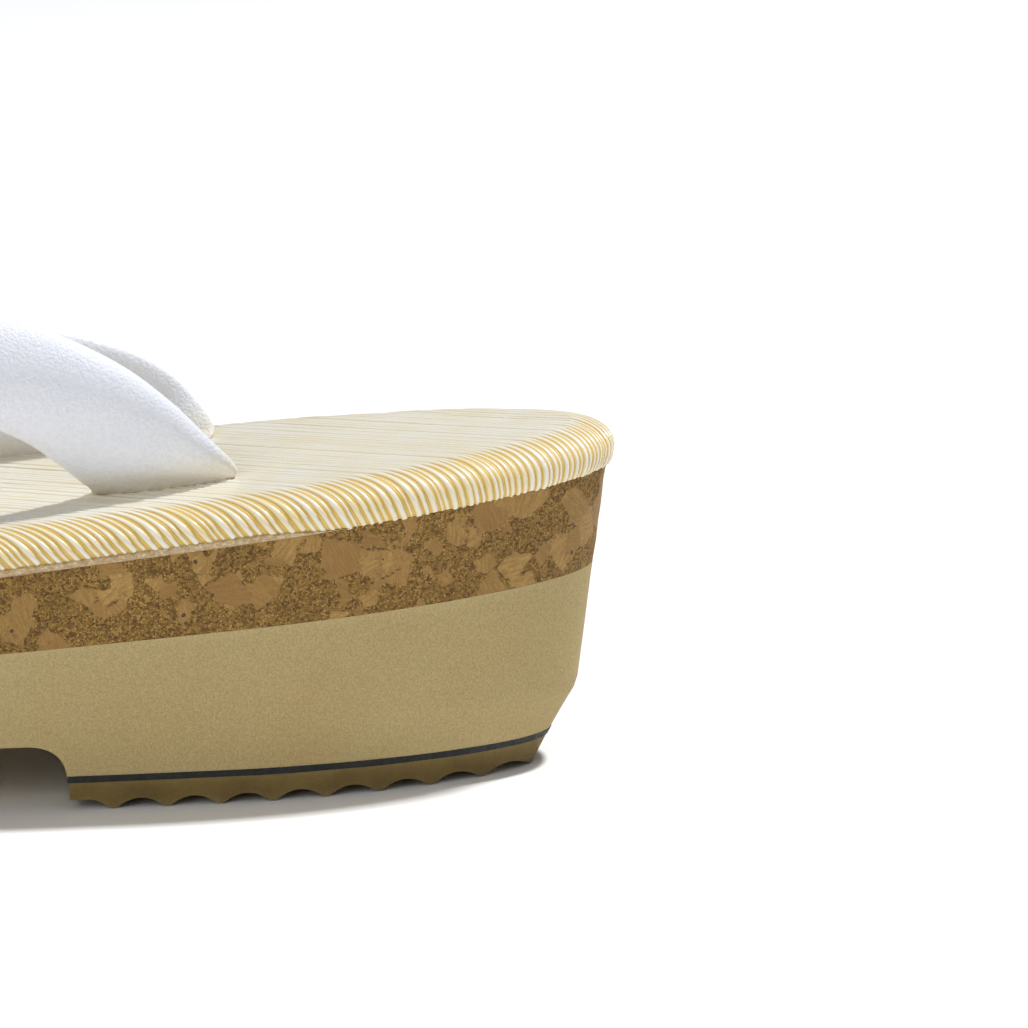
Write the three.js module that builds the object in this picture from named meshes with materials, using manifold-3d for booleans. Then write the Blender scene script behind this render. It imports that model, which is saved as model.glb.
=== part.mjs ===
// Zori sandal: a Japanese wedge sandal with a rolled top cover, a cork layer, a sponge
// midsole with an arch gap, scalloped treads at heel and forefoot, and a padded V strap.
//
// Millimetres, +Z up. The toe points along -Y and the heel along +Y. The origin is on the
// floor, under the middle of the bounding box. A "station" is a distance from the heel end.

import * as THREE from 'three';
import { mergeVertices } from 'three/addons/utils/BufferGeometryUtils.js';
import Module from 'manifold-3d';

const wasm = await Module();
wasm.setup();

// Rows of numbers as objects, one for each row, with a name for each column.
function tableOf(columns, rows) {
  return rows.map((row) => Object.fromEntries(columns.map((column, i) => [column, row[i]])));
}

// ---- Driving dimensions ---------------------------------------------------------------

const LENGTH = 240; // heel end to toe end, over the rolled cover
const BALL_HALF = 44; // half the width at the ball of the foot
const BALL_STATION = 142; // where the full width is reached
const HEEL_HALF = 27.5; // half the width that the long sides narrow to at the heel end
const HEEL_ROUND = 58; // length of the rounded heel end
const HEEL_POWER = 2.25; // superellipse power of the heel end
const TOE_ROUND = 80; // length of the rounded toe end
const TOE_POWER = 2.05; // superellipse power of the toe end

const GAP = 0.3; // glue line between curved faces, and clearance round the straps

// Heights of the layers along the sole, one row for each station.
const LAYERS = tableOf(
  ['station', 'coverTop', 'coverBottom', 'corkBottom'],
  [
    [0, 54.1, 47.5, 31.8],
    [60, 47.9, 41.3, 27.8],
    [110, 42.7, 36.1, 24.4],
    [150, 38.2, 31.7, 21.6],
    [190, 34.4, 28.1, 19.0],
    [240, 31.6, 25.4, 17.0],
  ],
);

// The wall of the sole leans in below the cover.
const OVERHANG = 1.4; // the cover stands out this far past the cork
const SIDE_TAPER = 0.04; // lean of the long sides, mm in per mm down
const END_TAPER = 0.135; // lean of the heel and toe ends
const BEVEL_TOP = 12.2; // below this height the ends are also bevelled
const BEVEL_SLOPE = 0.49; // extra lean of the ends in the bevel

// Rolled edge of the cover: a fuller curve above, a tighter one below.
const ROLL_OVER = 7; // width of the upper curve
const ROLL_UNDER = 1.3; // width of the lower curve
const ROLL_MIDDLE = 0.42; // height of the widest point, as a share of the cover
const ROLL_STEPS = 5; // facets in each quarter

// Undersides.
const TREAD_TOP = 4.5; // height of the treads' flat tops
const SHEET_TOP = 5.35; // the bonding sheet lies between the tread and the sponge
const ARCH_HEIGHT = 10.4; // clear height under the arch
const HEEL_FRONT = 85.5; // front face of the heel block, at the floor
const FOREFOOT_BACK = 127; // back face of the forefoot block, at the floor
const FACE_LEAN = 0.7; // how far each face leans back at the top of the sheet
const FILLET = 5.8; // length of the curve from each face into the arch

// Tread teeth: shallow scallops between narrow flats that stand on the floor.
const TOOTH_PITCH = 8.25;
const TOOTH_FLAT = 0.6;
const TOOTH_DEPTH = 1.6;
const FIRST_TOOTH = 13.4; // station of the hindmost tooth
const HEEL_TEETH = 9;
const FOREFOOT_TEETH = 11;
const FOREFOOT_FIRST_TOOTH = 134.3;
const LEDGE = 3.2; // plain ledge between the last tooth and the face of a block

// The padded V strap, from the heel-side tail of one arm to the middle of the V. Each row
// is one section: x, station and rise above the cover of its upper and its lower edge, and
// how full the padding is. The left arm is softer and sags: its lower edge rests on the
// cover for a while before it rises.
const STRAP_COLUMNS = ['upperX', 'upperAt', 'upperRise', 'lowerX', 'lowerAt', 'lowerRise', 'pad'];
const RIGHT_ARM = tableOf(
  STRAP_COLUMNS,
  [
    [15.5, 63.5, -7.6, 14.5, 80.8, -7.6, 1.2],
    [14.5, 61, -0.6, 14.8, 82.2, -0.6, 1.8],
    [17, 59.8, 2, 17.2, 83, 1.9, 2.9],
    [20.6, 63.8, 7.4, 20.2, 85.2, 4.2, 3.4],
    [22.2, 70.2, 14.8, 22.6, 88.6, 7.7, 3.7],
    [22.6, 78.6, 22, 24.8, 93.4, 11.7, 3.9],
    [22.2, 90.6, 28.6, 26.6, 101.6, 16.1, 4],
    [21, 104, 32, 27.4, 111.8, 19.3, 4],
    [18.6, 119, 32.8, 26.4, 125, 20.6, 4],
    [14.8, 135, 31.2, 23.4, 139.5, 19.9, 4],
    [10.6, 151.0, 27.2, 18.4, 154.6, 17.2, 3.8],
    [6.6, 166.5, 21.8, 11.6, 169.6, 13.0, 3.4],
    [3.6, 179.0, 16.8, 6.0, 182.2, 8.8, 2.9],
    [0.0, 185.0, 14.2, 0.0, 189.4, 6.6, 2.5],
  ],
);
const LEFT_ARM = tableOf(
  STRAP_COLUMNS,
  [
    [20.5, 67.0, -7.6, 24.5, 83.0, -7.6, 1.2],
    [19.5, 64.5, -0.6, 24.5, 84.2, -4.8, 1.4],
    [22.0, 63.1, 1.8, 26.0, 87.6, -3.2, 2.5],
    [25.1, 66.2, 6.4, 26.0, 91.4, -2.0, 3.2],
    [25.7, 71.2, 11.6, 25.8, 95.6, -1.0, 3.6],
    [25.1, 78.6, 16.0, 26.0, 100.4, 0.7, 3.9],
    [23.7, 90.6, 20.4, 26.6, 106.6, 3.4, 4.0],
    [22.0, 104.0, 24.0, 27.9, 114.4, 7.8, 4.0],
    [19.1, 119.0, 25.6, 27.9, 125.8, 11.8, 4.0],
    [14.8, 135.0, 25.2, 24.6, 139.6, 13.6, 4.0],
    [10.6, 151.0, 22.8, 18.4, 154.6, 12.8, 3.8],
    [6.6, 166.5, 19.2, 11.6, 169.6, 10.4, 3.4],
    [3.6, 179.0, 15.8, 6.0, 182.2, 7.8, 2.9],
  ],
);
const STRAP_STEPS = 56; // facets along the whole strap
const STRAP_SIDES = 14; // facets round one section
const INNER_FULLNESS = 0.6; // the face against the foot is flatter than the outer face

// Toe post: a narrow padded band that loops over the middle of the V and goes down into
// the sole. Each row is a point of its soft outline in the middle plane.
const POST_HALF_WIDTH = 4.2;
const POST_SOFTNESS = 1.0; // rounded edge of the band
const POST_OUTLINE = tableOf(
  ['station', 'rise'],
  [
    [184.6, -9.0],
    [184.4, 0.5],
    [183.4, 5.0],
    [181.2, 11.0],
    [181.8, 16.6],
    [185.0, 18.6],
    [188.6, 16.8],
    [191.8, 10.6],
    [193.2, 4.6],
    [191.8, 0.0],
    [191.2, -9.0],
  ],
);

const CUT_WIDTH = 120; // width of the slabs that cut the layers, wider than the sole
const PAST_END = 12; // how far the slabs reach past the heel and toe ends

// ---- Helpers: numbers and solids ------------------------------------------------------

const yOf = (station) => LENGTH / 2 - station;
const clamp01 = (value) => Math.min(1, Math.max(0, value));

// Smooth value of one column of a table at any place along its key column.
function smoothColumn(rows, key, column, at) {
  let i = 0;
  while (i < rows.length - 2 && at > rows[i + 1][key]) i += 1;
  const slope = (k) => {
    const before = rows[Math.max(0, k - 1)];
    const after = rows[Math.min(rows.length - 1, k + 1)];
    return (after[column] - before[column]) / (after[key] - before[key]);
  };
  const run = rows[i + 1][key] - rows[i][key];
  const t = clamp01((at - rows[i][key]) / run);
  const a = rows[i][column];
  const b = rows[i + 1][column];
  const bend = (2 * t ** 3 - 3 * t ** 2 + 1) * a + (3 * t ** 2 - 2 * t ** 3) * b;
  return bend + run * ((t ** 3 - 2 * t ** 2 + t) * slope(i) + (t ** 3 - t ** 2) * slope(i + 1));
}

const layerHeight = (column, station) => smoothColumn(LAYERS, 'station', column, station);

// A closed geometry from a list of corner points and a list of triangles.
function geometryFrom(points, triangles) {
  const geometry = new THREE.BufferGeometry();
  geometry.setAttribute('position', new THREE.Float32BufferAttribute(points.flatMap((p) => p.toArray()), 3));
  geometry.setIndex(triangles.flat());
  return geometry;
}

function toManifold(geometry) {
  const bare = geometry.clone();
  bare.deleteAttribute('normal');
  bare.deleteAttribute('uv');
  const merged = mergeVertices(bare, 1e-4);
  const vertProperties = new Float32Array(merged.attributes.position.array);
  const triVerts = new Uint32Array(merged.index.array);
  return new wasm.Manifold(new wasm.Mesh({ numProp: 3, vertProperties, triVerts }));
}

function toGeometry(solid) {
  const mesh = solid.getMesh();
  const geometry = new THREE.BufferGeometry();
  geometry.setAttribute('position', new THREE.BufferAttribute(new Float32Array(mesh.vertProperties), 3));
  geometry.setIndex(new THREE.BufferAttribute(new Uint32Array(mesh.triVerts), 1));
  return geometry;
}

// Skin between rings that all have the same number of points, closed by a cap at each end.
// capTriangles gives the triangles of one cap, seen from outside the last ring.
function loft(rings, capTriangles) {
  const count = rings[0].length;
  const triangles = [];
  for (let r = 0; r < rings.length - 1; r += 1) {
    for (let i = 0; i < count; i += 1) {
      const a = r * count + i;
      const b = r * count + ((i + 1) % count);
      triangles.push([a, b, b + count], [a, b + count, a + count]);
    }
  }
  const last = (rings.length - 1) * count;
  capTriangles(count).forEach(([a, b, c]) => {
    triangles.push([a + last, b + last, c + last], [c, b, a]);
  });
  return toManifold(geometryFrom(rings.flat(), triangles));
}

// A shape drawn in the side view (y, z) and extruded across the middle plane.
function extrudeAcross(shape, options) {
  const geometry = new THREE.ExtrudeGeometry(shape, options);
  const sideways = new THREE.Matrix4().makeBasis(
    new THREE.Vector3(0, 1, 0),
    new THREE.Vector3(0, 0, 1),
    new THREE.Vector3(1, 0, 0),
  );
  geometry.applyMatrix4(sideways.setPosition(-options.depth / 2, 0, 0));
  return toManifold(geometry);
}

// A side-view shape wide enough to cut the whole sole.
const slab = (shape) => extrudeAcross(shape, { depth: CUT_WIDTH, bevelEnabled: false, curveSegments: 5 });

// ---- Outline of the sole --------------------------------------------------------------

const roundEnd = (share, power) => (share >= 1 ? 1 : (1 - (1 - share) ** power) ** (1 / power));

// Half the width of the cover at one station: it grows from heel to ball between round ends.
function halfWidth(station) {
  const growth = Math.sin((Math.PI / 2) * clamp01(station / BALL_STATION));
  const body = HEEL_HALF + (BALL_HALF - HEEL_HALF) * growth;
  const heel = roundEnd(Math.max(0, station) / HEEL_ROUND, HEEL_POWER);
  const toe = roundEnd(Math.max(0, LENGTH - station) / TOE_ROUND, TOE_POWER);
  return body * heel * toe;
}

// Stations from heel to toe, closer together round both ends.
function outlineStations() {
  const stations = [];
  const endSteps = 12;
  const sideSteps = 10;
  for (let i = 0; i < endSteps; i += 1) {
    stations.push(HEEL_ROUND * (1 - Math.cos((i / endSteps) * (Math.PI / 2))));
  }
  const straight = LENGTH - HEEL_ROUND - TOE_ROUND;
  for (let i = 0; i < sideSteps; i += 1) {
    stations.push(HEEL_ROUND + (straight * i) / sideSteps);
  }
  for (let i = 0; i <= endSteps; i += 1) {
    stations.push(LENGTH - TOE_ROUND * (1 - Math.sin((i / endSteps) * (Math.PI / 2))));
  }
  return stations;
}

// One side of the outline, with the direction that faces out of it at each point.
function outlineSide() {
  const points = outlineStations().map((station) => ({ station, x: halfWidth(station), y: yOf(station) }));
  const last = points.length - 1;
  return points.map((point, i) => {
    const before = i === 0 ? { x: -points[1].x, y: points[1].y } : points[i - 1];
    const after = i === last ? { x: -points[last - 1].x, y: points[last - 1].y } : points[i + 1];
    const out = new THREE.Vector2(before.y - after.y, after.x - before.x).normalize();
    return { ...point, out };
  });
}

const SIDE = outlineSide();

// A closed ring round the sole. insetOf and heightOf are read at each outline point.
function ring(insetOf, heightOf) {
  const place = (point, mirror) => {
    const inset = insetOf(point);
    const x = point.x - point.out.x * inset;
    return new THREE.Vector3(mirror * x, point.y - point.out.y * inset, heightOf(point.station));
  };
  const right = SIDE.map((point, i) => {
    const onMiddle = i === 0 || i === SIDE.length - 1;
    return place(point, onMiddle ? 0 : 1);
  });
  const left = SIDE.slice(1, -1).reverse().map((point) => place(point, -1));
  return [...right.reverse(), ...left.reverse()];
}

// Triangles that join the two sides of a ring straight across.
function acrossCap(count) {
  const half = count / 2;
  const triangles = [];
  for (let i = 0; i < half; i += 1) {
    const leftA = (count - i) % count;
    const leftB = count - i - 1;
    if (i > 0) triangles.push([i, leftB, leftA]);
    if (i < half - 1) triangles.push([i, i + 1, leftB]);
  }
  return triangles;
}

// ---- The layers of the sole -----------------------------------------------------------

// How far the wall of the sole stands inside the outline at one height.
function wallInset(point, height) {
  const endness = Math.abs(point.out.y);
  const drop = layerHeight('coverBottom', point.station) - height;
  const lean = SIDE_TAPER + (END_TAPER - SIDE_TAPER) * endness;
  const bevel = BEVEL_SLOPE * endness * Math.max(0, BEVEL_TOP - height);
  return OVERHANG + lean * drop + bevel;
}

// The trimmed block that all the layers under the cover are cut from.
function trimmedBlock() {
  const levels = [() => 0, () => BEVEL_TOP, (station) => layerHeight('coverBottom', station) + 2];
  const rings = levels.map((level) => ring((point) => wallInset(point, level(point.station)), level));
  return loft(rings, acrossCap);
}

const BLOCK = trimmedBlock();

// Points of one layer boundary from heel to toe, a little past both ends.
function boundary(column, lift) {
  const points = [];
  for (let station = -PAST_END; station <= LENGTH + PAST_END; station += PAST_END) {
    const nearest = Math.min(LENGTH, Math.max(0, station));
    points.push(new THREE.Vector2(yOf(station), layerHeight(column, nearest) + lift));
  }
  return points;
}

function corkLayer() {
  const top = boundary('coverBottom', -GAP);
  const bottom = boundary('corkBottom', 0);
  return BLOCK.intersect(slab(new THREE.Shape([...bottom, ...top.reverse()])));
}

// The sponge's underside: a block at the heel, a block at the forefoot, an arch between.
function spongeMidsole() {
  const shape = new THREE.Shape(boundary('corkBottom', -GAP).reverse());
  const heelFace = HEEL_FRONT + FACE_LEAN;
  const forefootFace = FOREFOOT_BACK - FACE_LEAN;
  shape.lineTo(yOf(-PAST_END), SHEET_TOP);
  shape.lineTo(yOf(heelFace), SHEET_TOP);
  shape.quadraticCurveTo(yOf(heelFace + 0.6), ARCH_HEIGHT - 0.4, yOf(heelFace + FILLET), ARCH_HEIGHT);
  shape.lineTo(yOf(forefootFace - FILLET), ARCH_HEIGHT);
  shape.quadraticCurveTo(yOf(forefootFace - 0.6), ARCH_HEIGHT - 0.4, yOf(forefootFace), SHEET_TOP);
  shape.lineTo(yOf(LENGTH + PAST_END), SHEET_TOP);
  return BLOCK.intersect(slab(shape));
}

// Station of a block's leaning face at one height.
function faceStation(block, height) {
  return block.face + (block.lean * height) / SHEET_TOP;
}

const HEEL_BLOCK = { face: HEEL_FRONT, lean: FACE_LEAN, end: -PAST_END };
const FOREFOOT_BLOCK = { face: FOREFOOT_BACK, lean: -FACE_LEAN, end: LENGTH + PAST_END };

function bondingSheet(block) {
  const shape = new THREE.Shape();
  shape.moveTo(yOf(block.end), TREAD_TOP);
  shape.lineTo(yOf(faceStation(block, TREAD_TOP)), TREAD_TOP);
  shape.lineTo(yOf(faceStation(block, SHEET_TOP)), SHEET_TOP);
  shape.lineTo(yOf(block.end), SHEET_TOP);
  return BLOCK.intersect(slab(shape));
}

// A tread: the teeth are drawn from the face towards the end of the block.
function tread(block, toothStations) {
  const shape = new THREE.Shape();
  const way = Math.sign(block.end - block.face);
  shape.moveTo(yOf(block.end), TREAD_TOP);
  shape.lineTo(yOf(faceStation(block, TREAD_TOP)), TREAD_TOP);
  shape.lineTo(yOf(faceStation(block, TOOTH_DEPTH)), TOOTH_DEPTH);
  shape.lineTo(yOf(block.face + way * LEDGE), TOOTH_DEPTH);
  toothStations.forEach((station, i) => {
    const start = station - (way * TOOTH_FLAT) / 2;
    const middle = station - (way * TOOTH_PITCH) / 2;
    if (i > 0) shape.quadraticCurveTo(yOf(middle), TOOTH_DEPTH * 2, yOf(start), 0);
    else shape.lineTo(yOf(start), 0);
    shape.lineTo(yOf(start + way * TOOTH_FLAT), 0);
  });
  const lastTooth = toothStations[toothStations.length - 1];
  shape.lineTo(yOf(lastTooth + way * LEDGE), TOOTH_DEPTH);
  shape.lineTo(yOf(block.end), TOOTH_DEPTH);
  return BLOCK.intersect(slab(shape));
}

const toothRow = (first, count) => Array.from({ length: count }, (_, i) => first + i * TOOTH_PITCH);

// ---- Strap, toe post and cover --------------------------------------------------------

// A point of the strap, at a rise above the cover.
function aboveCover(x, station, rise) {
  return new THREE.Vector3(x, yOf(station), layerHeight('coverTop', station) + rise);
}

// The sections of one arm; side is 1 for the right arm and -1 for the left.
function strapArm(rows, side) {
  return rows.map((row) => ({
    upper: aboveCover(side * row.upperX, row.upperAt, row.upperRise),
    lower: aboveCover(side * row.lowerX, row.lowerAt, row.lowerRise),
    pad: row.pad,
  }));
}

// Both arms in one run, from the right tail over the middle of the V to the left tail.
function wholeStrap() {
  return [...strapArm(RIGHT_ARM, 1), ...strapArm(LEFT_ARM, -1).reverse()];
}

// The strap as one padded band. grow makes it larger all round, for the slits it passes.
function strapSolid(grow) {
  const sections = wholeStrap();
  const upperEdge = new THREE.CatmullRomCurve3(sections.map((section) => section.upper));
  const lowerEdge = new THREE.CatmullRomCurve3(sections.map((section) => section.lower));
  const pads = new THREE.CatmullRomCurve3(sections.map((section) => new THREE.Vector3(section.pad, 0, 0)));
  const middleAt = (t) => upperEdge.getPoint(t).add(lowerEdge.getPoint(t)).multiplyScalar(0.5);
  const rings = [];
  for (let k = 0; k <= STRAP_STEPS; k += 1) {
    const t = k / STRAP_STEPS;
    const across = upperEdge.getPoint(t).sub(lowerEdge.getPoint(t));
    const halfSpan = across.length() / 2 + grow;
    across.normalize();
    const along = middleAt(Math.min(1, t + 0.004)).sub(middleAt(Math.max(0, t - 0.004))).normalize();
    const inward = new THREE.Vector3().crossVectors(along, across).normalize();
    const middle = middleAt(t);
    if (k === 0) middle.addScaledVector(along, -grow);
    if (k === STRAP_STEPS) middle.addScaledVector(along, grow);
    const pad = pads.getPoint(t).x + grow;
    rings.push(Array.from({ length: STRAP_SIDES }, (_, i) => {
      const angle = (i / STRAP_SIDES) * Math.PI * 2;
      const fullness = Math.sin(angle) < 0 ? pad : pad * INNER_FULLNESS + grow * (1 - INNER_FULLNESS);
      return middle.clone()
        .addScaledVector(across, halfSpan * Math.cos(angle))
        .addScaledVector(inward, fullness * Math.sin(angle));
    }));
  }
  return loft(rings, (count) => Array.from({ length: count - 2 }, (_, i) => [0, i + 1, i + 2]));
}

// The toe post before the strap's passage is cut through its loop.
function postBlank(grow) {
  const outline = POST_OUTLINE.map((row) => {
    const point = aboveCover(0, row.station, row.rise);
    return new THREE.Vector2(point.y, point.z);
  });
  const soft = new THREE.SplineCurve([...outline.slice(1, -1)]);
  const shape = new THREE.Shape([outline[0], ...soft.getPoints(22), outline[outline.length - 1]]);
  return extrudeAcross(shape, {
    depth: 2 * (POST_HALF_WIDTH - POST_SOFTNESS),
    bevelEnabled: true,
    bevelThickness: POST_SOFTNESS + grow,
    bevelSize: POST_SOFTNESS,
    bevelOffset: grow - POST_SOFTNESS,
    bevelSegments: 2,
  });
}

// The cover's rolled edge, as rings from the underside round to the top.
function coverBlank() {
  const rings = [];
  const heightAt = (share) => (station) => {
    const bottom = layerHeight('coverBottom', station);
    return bottom + share * (layerHeight('coverTop', station) - bottom);
  };
  for (let i = 0; i < ROLL_STEPS; i += 1) {
    const angle = (i / ROLL_STEPS) * (Math.PI / 2);
    const inset = ROLL_UNDER * (1 - Math.sin(angle));
    rings.push(ring(() => inset, heightAt(ROLL_MIDDLE * (1 - Math.cos(angle)))));
  }
  for (let i = 0; i <= ROLL_STEPS; i += 1) {
    const angle = (i / ROLL_STEPS) * (Math.PI / 2);
    const inset = ROLL_OVER * (1 - Math.cos(angle));
    rings.push(ring(() => inset, heightAt(ROLL_MIDDLE + (1 - ROLL_MIDDLE) * Math.sin(angle))));
  }
  return loft(rings, acrossCap);
}

const STRAP_UPPER = strapSolid(0);
const PASSAGES = strapSolid(GAP).add(postBlank(GAP));

// ---- The pieces -----------------------------------------------------------------------

const sandal = new THREE.Group();

function addPiece(name, solid, look) {
  const mesh = new THREE.Mesh(toGeometry(solid), new THREE.MeshStandardMaterial({ metalness: 0, ...look }));
  mesh.name = name;
  sandal.add(mesh);
}

const SPONGE_LOOK = { color: '#ab9560', roughness: 0.9 };
const SHEET_LOOK = { color: '#252824', roughness: 0.6 };
const TREAD_LOOK = { color: '#605532', roughness: 0.85 };
const LEATHER_LOOK = { color: '#e6e6ec', roughness: 0.5 };

addPiece('heel_tread', tread(HEEL_BLOCK, toothRow(FIRST_TOOTH, HEEL_TEETH).reverse()), TREAD_LOOK);
addPiece('forefoot_tread', tread(FOREFOOT_BLOCK, toothRow(FOREFOOT_FIRST_TOOTH, FOREFOOT_TEETH)), TREAD_LOOK);
addPiece('heel_bonding_sheet', bondingSheet(HEEL_BLOCK), SHEET_LOOK);
addPiece('forefoot_bonding_sheet', bondingSheet(FOREFOOT_BLOCK), SHEET_LOOK);
addPiece('sponge_midsole', spongeMidsole(), SPONGE_LOOK);
addPiece('cork_layer', corkLayer().subtract(PASSAGES), { color: '#8b6c42', roughness: 0.9 });
addPiece('top_cover', coverBlank().subtract(PASSAGES), { color: '#ece2c2', roughness: 0.45 });
addPiece('strap_upper', STRAP_UPPER, LEATHER_LOOK);
addPiece('toe_post', postBlank(0).subtract(strapSolid(GAP)), LEATHER_LOOK);

export default sandal;
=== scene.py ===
# %% [markdown]
# # A zori sandal, finished round its frame
#
# A zori is a flat Japanese sandal. This one has a padded top wrapped in ribbed cloth, a layer
# of pressed cork, a wedge of foam sponge with an arch gap, and two scalloped treads. Its upper
# is a padded V strap held down by a toe post.
#
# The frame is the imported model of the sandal: plain solids at their real size. This script
# leaves them where they are, builds a finished piece over each one, and gives every surface
# a material made of nodes. Everything is in metres, +Z is up, the heel is at +Y.

# %% Load the frame
import math

import bmesh
import bpy
import numpy as np
from mathutils import Matrix, Vector


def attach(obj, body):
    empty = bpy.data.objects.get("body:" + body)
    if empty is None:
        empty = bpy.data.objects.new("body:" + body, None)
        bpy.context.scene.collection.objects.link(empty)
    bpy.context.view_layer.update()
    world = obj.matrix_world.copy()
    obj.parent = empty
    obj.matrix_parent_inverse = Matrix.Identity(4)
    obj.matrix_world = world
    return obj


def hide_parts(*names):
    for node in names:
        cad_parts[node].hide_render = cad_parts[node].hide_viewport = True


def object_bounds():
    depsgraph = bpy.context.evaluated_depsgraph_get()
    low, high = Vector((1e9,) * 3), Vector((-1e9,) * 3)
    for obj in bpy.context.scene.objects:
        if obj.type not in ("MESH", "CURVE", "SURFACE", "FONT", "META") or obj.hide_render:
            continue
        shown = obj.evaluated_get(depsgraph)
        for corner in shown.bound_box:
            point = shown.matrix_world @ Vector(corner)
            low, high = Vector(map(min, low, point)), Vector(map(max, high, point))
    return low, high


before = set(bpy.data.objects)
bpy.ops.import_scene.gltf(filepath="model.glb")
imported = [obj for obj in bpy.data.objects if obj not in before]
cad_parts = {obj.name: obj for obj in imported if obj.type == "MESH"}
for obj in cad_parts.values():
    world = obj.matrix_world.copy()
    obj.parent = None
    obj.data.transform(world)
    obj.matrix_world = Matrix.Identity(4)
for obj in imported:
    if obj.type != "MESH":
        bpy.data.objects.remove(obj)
CAD_LOW, CAD_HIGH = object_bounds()

# %% [markdown]
# ## Sizes
#
# A shoemaker measures a sole in millimetres from the heel, so the tables below do the same: a
# "station" is a distance from the heel end. The length and the width at the ball of the foot
# are read from the frame's box, and one factor turns millimetres into Blender's metres.

# %% Driving sizes of the sole
MM = 0.001
LENGTH = (CAD_HIGH.y - CAD_LOW.y) / MM
BALL_HALF = (CAD_HIGH.x - CAD_LOW.x) / 2 / MM
BALL_STATION = 142  # where the full width is reached
HEEL_HALF = 27.5  # half the width that the long sides narrow to at the heel
HEEL_ROUND, HEEL_POWER = 58, 2.25  # length and superellipse power of the heel end
TOE_ROUND, TOE_POWER = 80, 2.05
print(f"sole {LENGTH:.1f} mm long, {2 * BALL_HALF:.1f} mm wide")


# %% Tables with named columns, and smooth values between their rows
def table_of(columns, rows):
    """A dictionary that holds each named column as an array."""
    return dict(zip(columns, np.array(rows, float).T))


def smooth_between(keys, values, at):
    """Smooth values at any place between the rows of a table."""
    spread = (...,) + (None,) * (values.ndim - 1)  # stretches a list to the values' own shape
    slopes = np.gradient(values, axis=0) / np.gradient(keys)[spread]
    i = np.clip(np.searchsorted(keys, at, side="right") - 1, 0, len(keys) - 2)
    run = (keys[i + 1] - keys[i])[spread]
    t = np.clip((at - keys[i])[spread] / run, 0, 1)
    straight = (2 * t**3 - 3 * t**2 + 1) * values[i] + (3 * t**2 - 2 * t**3) * values[i + 1]
    return straight + run * ((t**3 - 2 * t**2 + t) * slopes[i] + (t**3 - t**2) * slopes[i + 1])


LAYERS = table_of(
    ("station", "cover_top", "cover_bottom", "cork_bottom"),
    [
        (0, 54.1, 47.5, 31.8),
        (60, 47.9, 41.3, 27.8),
        (110, 42.7, 36.1, 24.4),
        (150, 38.2, 31.7, 21.6),
        (190, 34.4, 28.1, 19.0),
        (240, 31.6, 25.4, 17.0),
    ],
)


def layer(column, station):
    """Height of one layer's boundary at a station."""
    return smooth_between(LAYERS["station"], LAYERS[column], np.asarray(station, float))


print("heel", layer("cover_top", 0), "mm high, toe", layer("cover_top", LENGTH), "mm high")

# %% [markdown]
# ## The outline of the sole
#
# Every layer of the sole is cut to one outline, so it is worth having as a formula: half a
# width for each station, growing from heel to ball between two round ends. A superellipse
# rounds the ends, because it is blunter than a circle, as a last is. Each point also gets the
# direction that faces out of the sole there. The wall leans in along that direction.


# %% Outline, and the wall below it
def round_end(share, power):
    """0 at the very end of the sole, 1 where the round end is over."""
    share = np.clip(share, 0, 1)
    return (1 - (1 - share) ** power) ** (1 / power)


def half_width(station):
    growth = np.sin(math.pi / 2 * np.clip(station / BALL_STATION, 0, 1))
    body = HEEL_HALF + (BALL_HALF - HEEL_HALF) * growth
    heel = round_end(station / HEEL_ROUND, HEEL_POWER)
    return body * heel * round_end((LENGTH - station) / TOE_ROUND, TOE_POWER)


def outline(station):
    """x, y and the outward direction at each station of the +X side."""
    station = np.asarray(station, float)
    near = 0.01
    before = np.maximum(station - near, 0)
    after = np.minimum(station + near, LENGTH)
    slope = (half_width(after) - half_width(before)) / (after - before)
    slope = np.where(station <= 0, 1e9, np.where(station >= LENGTH, -1e9, slope))
    size = np.hypot(1, slope)
    return half_width(station), LENGTH / 2 - station, 1 / size, slope / size


OVERHANG = 1.4  # the cover stands out this far past the cork
SIDE_TAPER, END_TAPER = 0.04, 0.135  # lean of the wall, mm in per mm down
BEVEL_TOP, BEVEL_SLOPE = 12.2, 0.49  # the ends are bevelled more below this height


def wall_inset(station, height):
    """How far the wall of the sole stands inside the outline."""
    endness = np.abs(outline(station)[3])
    lean = SIDE_TAPER + (END_TAPER - SIDE_TAPER) * endness
    bevel = BEVEL_SLOPE * endness * np.maximum(0, BEVEL_TOP - height)
    return OVERHANG + lean * (layer("cover_bottom", station) - height) + bevel


def spaced_stations(step, start=0.0, end=LENGTH):
    """Stations that lie about step mm apart along the outline."""
    fine = LENGTH * (1 - np.cos(np.linspace(0, math.pi, 20001))) / 2
    walked = np.concatenate([[0], np.cumsum(np.hypot(np.diff(half_width(fine)), np.diff(fine)))])
    first, last = np.interp([start, end], fine, walked)
    count = max(2, round((last - first) / step) + 1)
    return np.clip(np.interp(np.linspace(first, last, count), walked, fine), start, end)


print("outline points 1 mm apart:", len(spaced_stations(1)) * 2)

# %% [markdown]
# ## Rings, skins and pieces
#
# Most of the sole is a stack of rings. A ring goes down the +X side from heel to toe and back
# up the other side, and quads join each ring to the next. A flat face is filled with quads
# straight across from side to side, which keeps a scallop or an arch exact over the width.
# bmesh then welds the points and turns every face outwards.


# %% Build a mesh from rings
def ring(station, inset, height):
    """A closed ring of points, and for each side the places of its points in it."""
    x, y, out_x, out_y = outline(station)
    height = np.broadcast_to(height, x.shape)
    right = np.stack([x - out_x * inset, y - out_y * inset, height], axis=1)
    middle = (station <= 0) | (station >= LENGTH)
    right[middle, 0] = 0
    left = right[~middle][::-1] * (-1, 1, 1)
    return np.concatenate([right, left])


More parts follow.
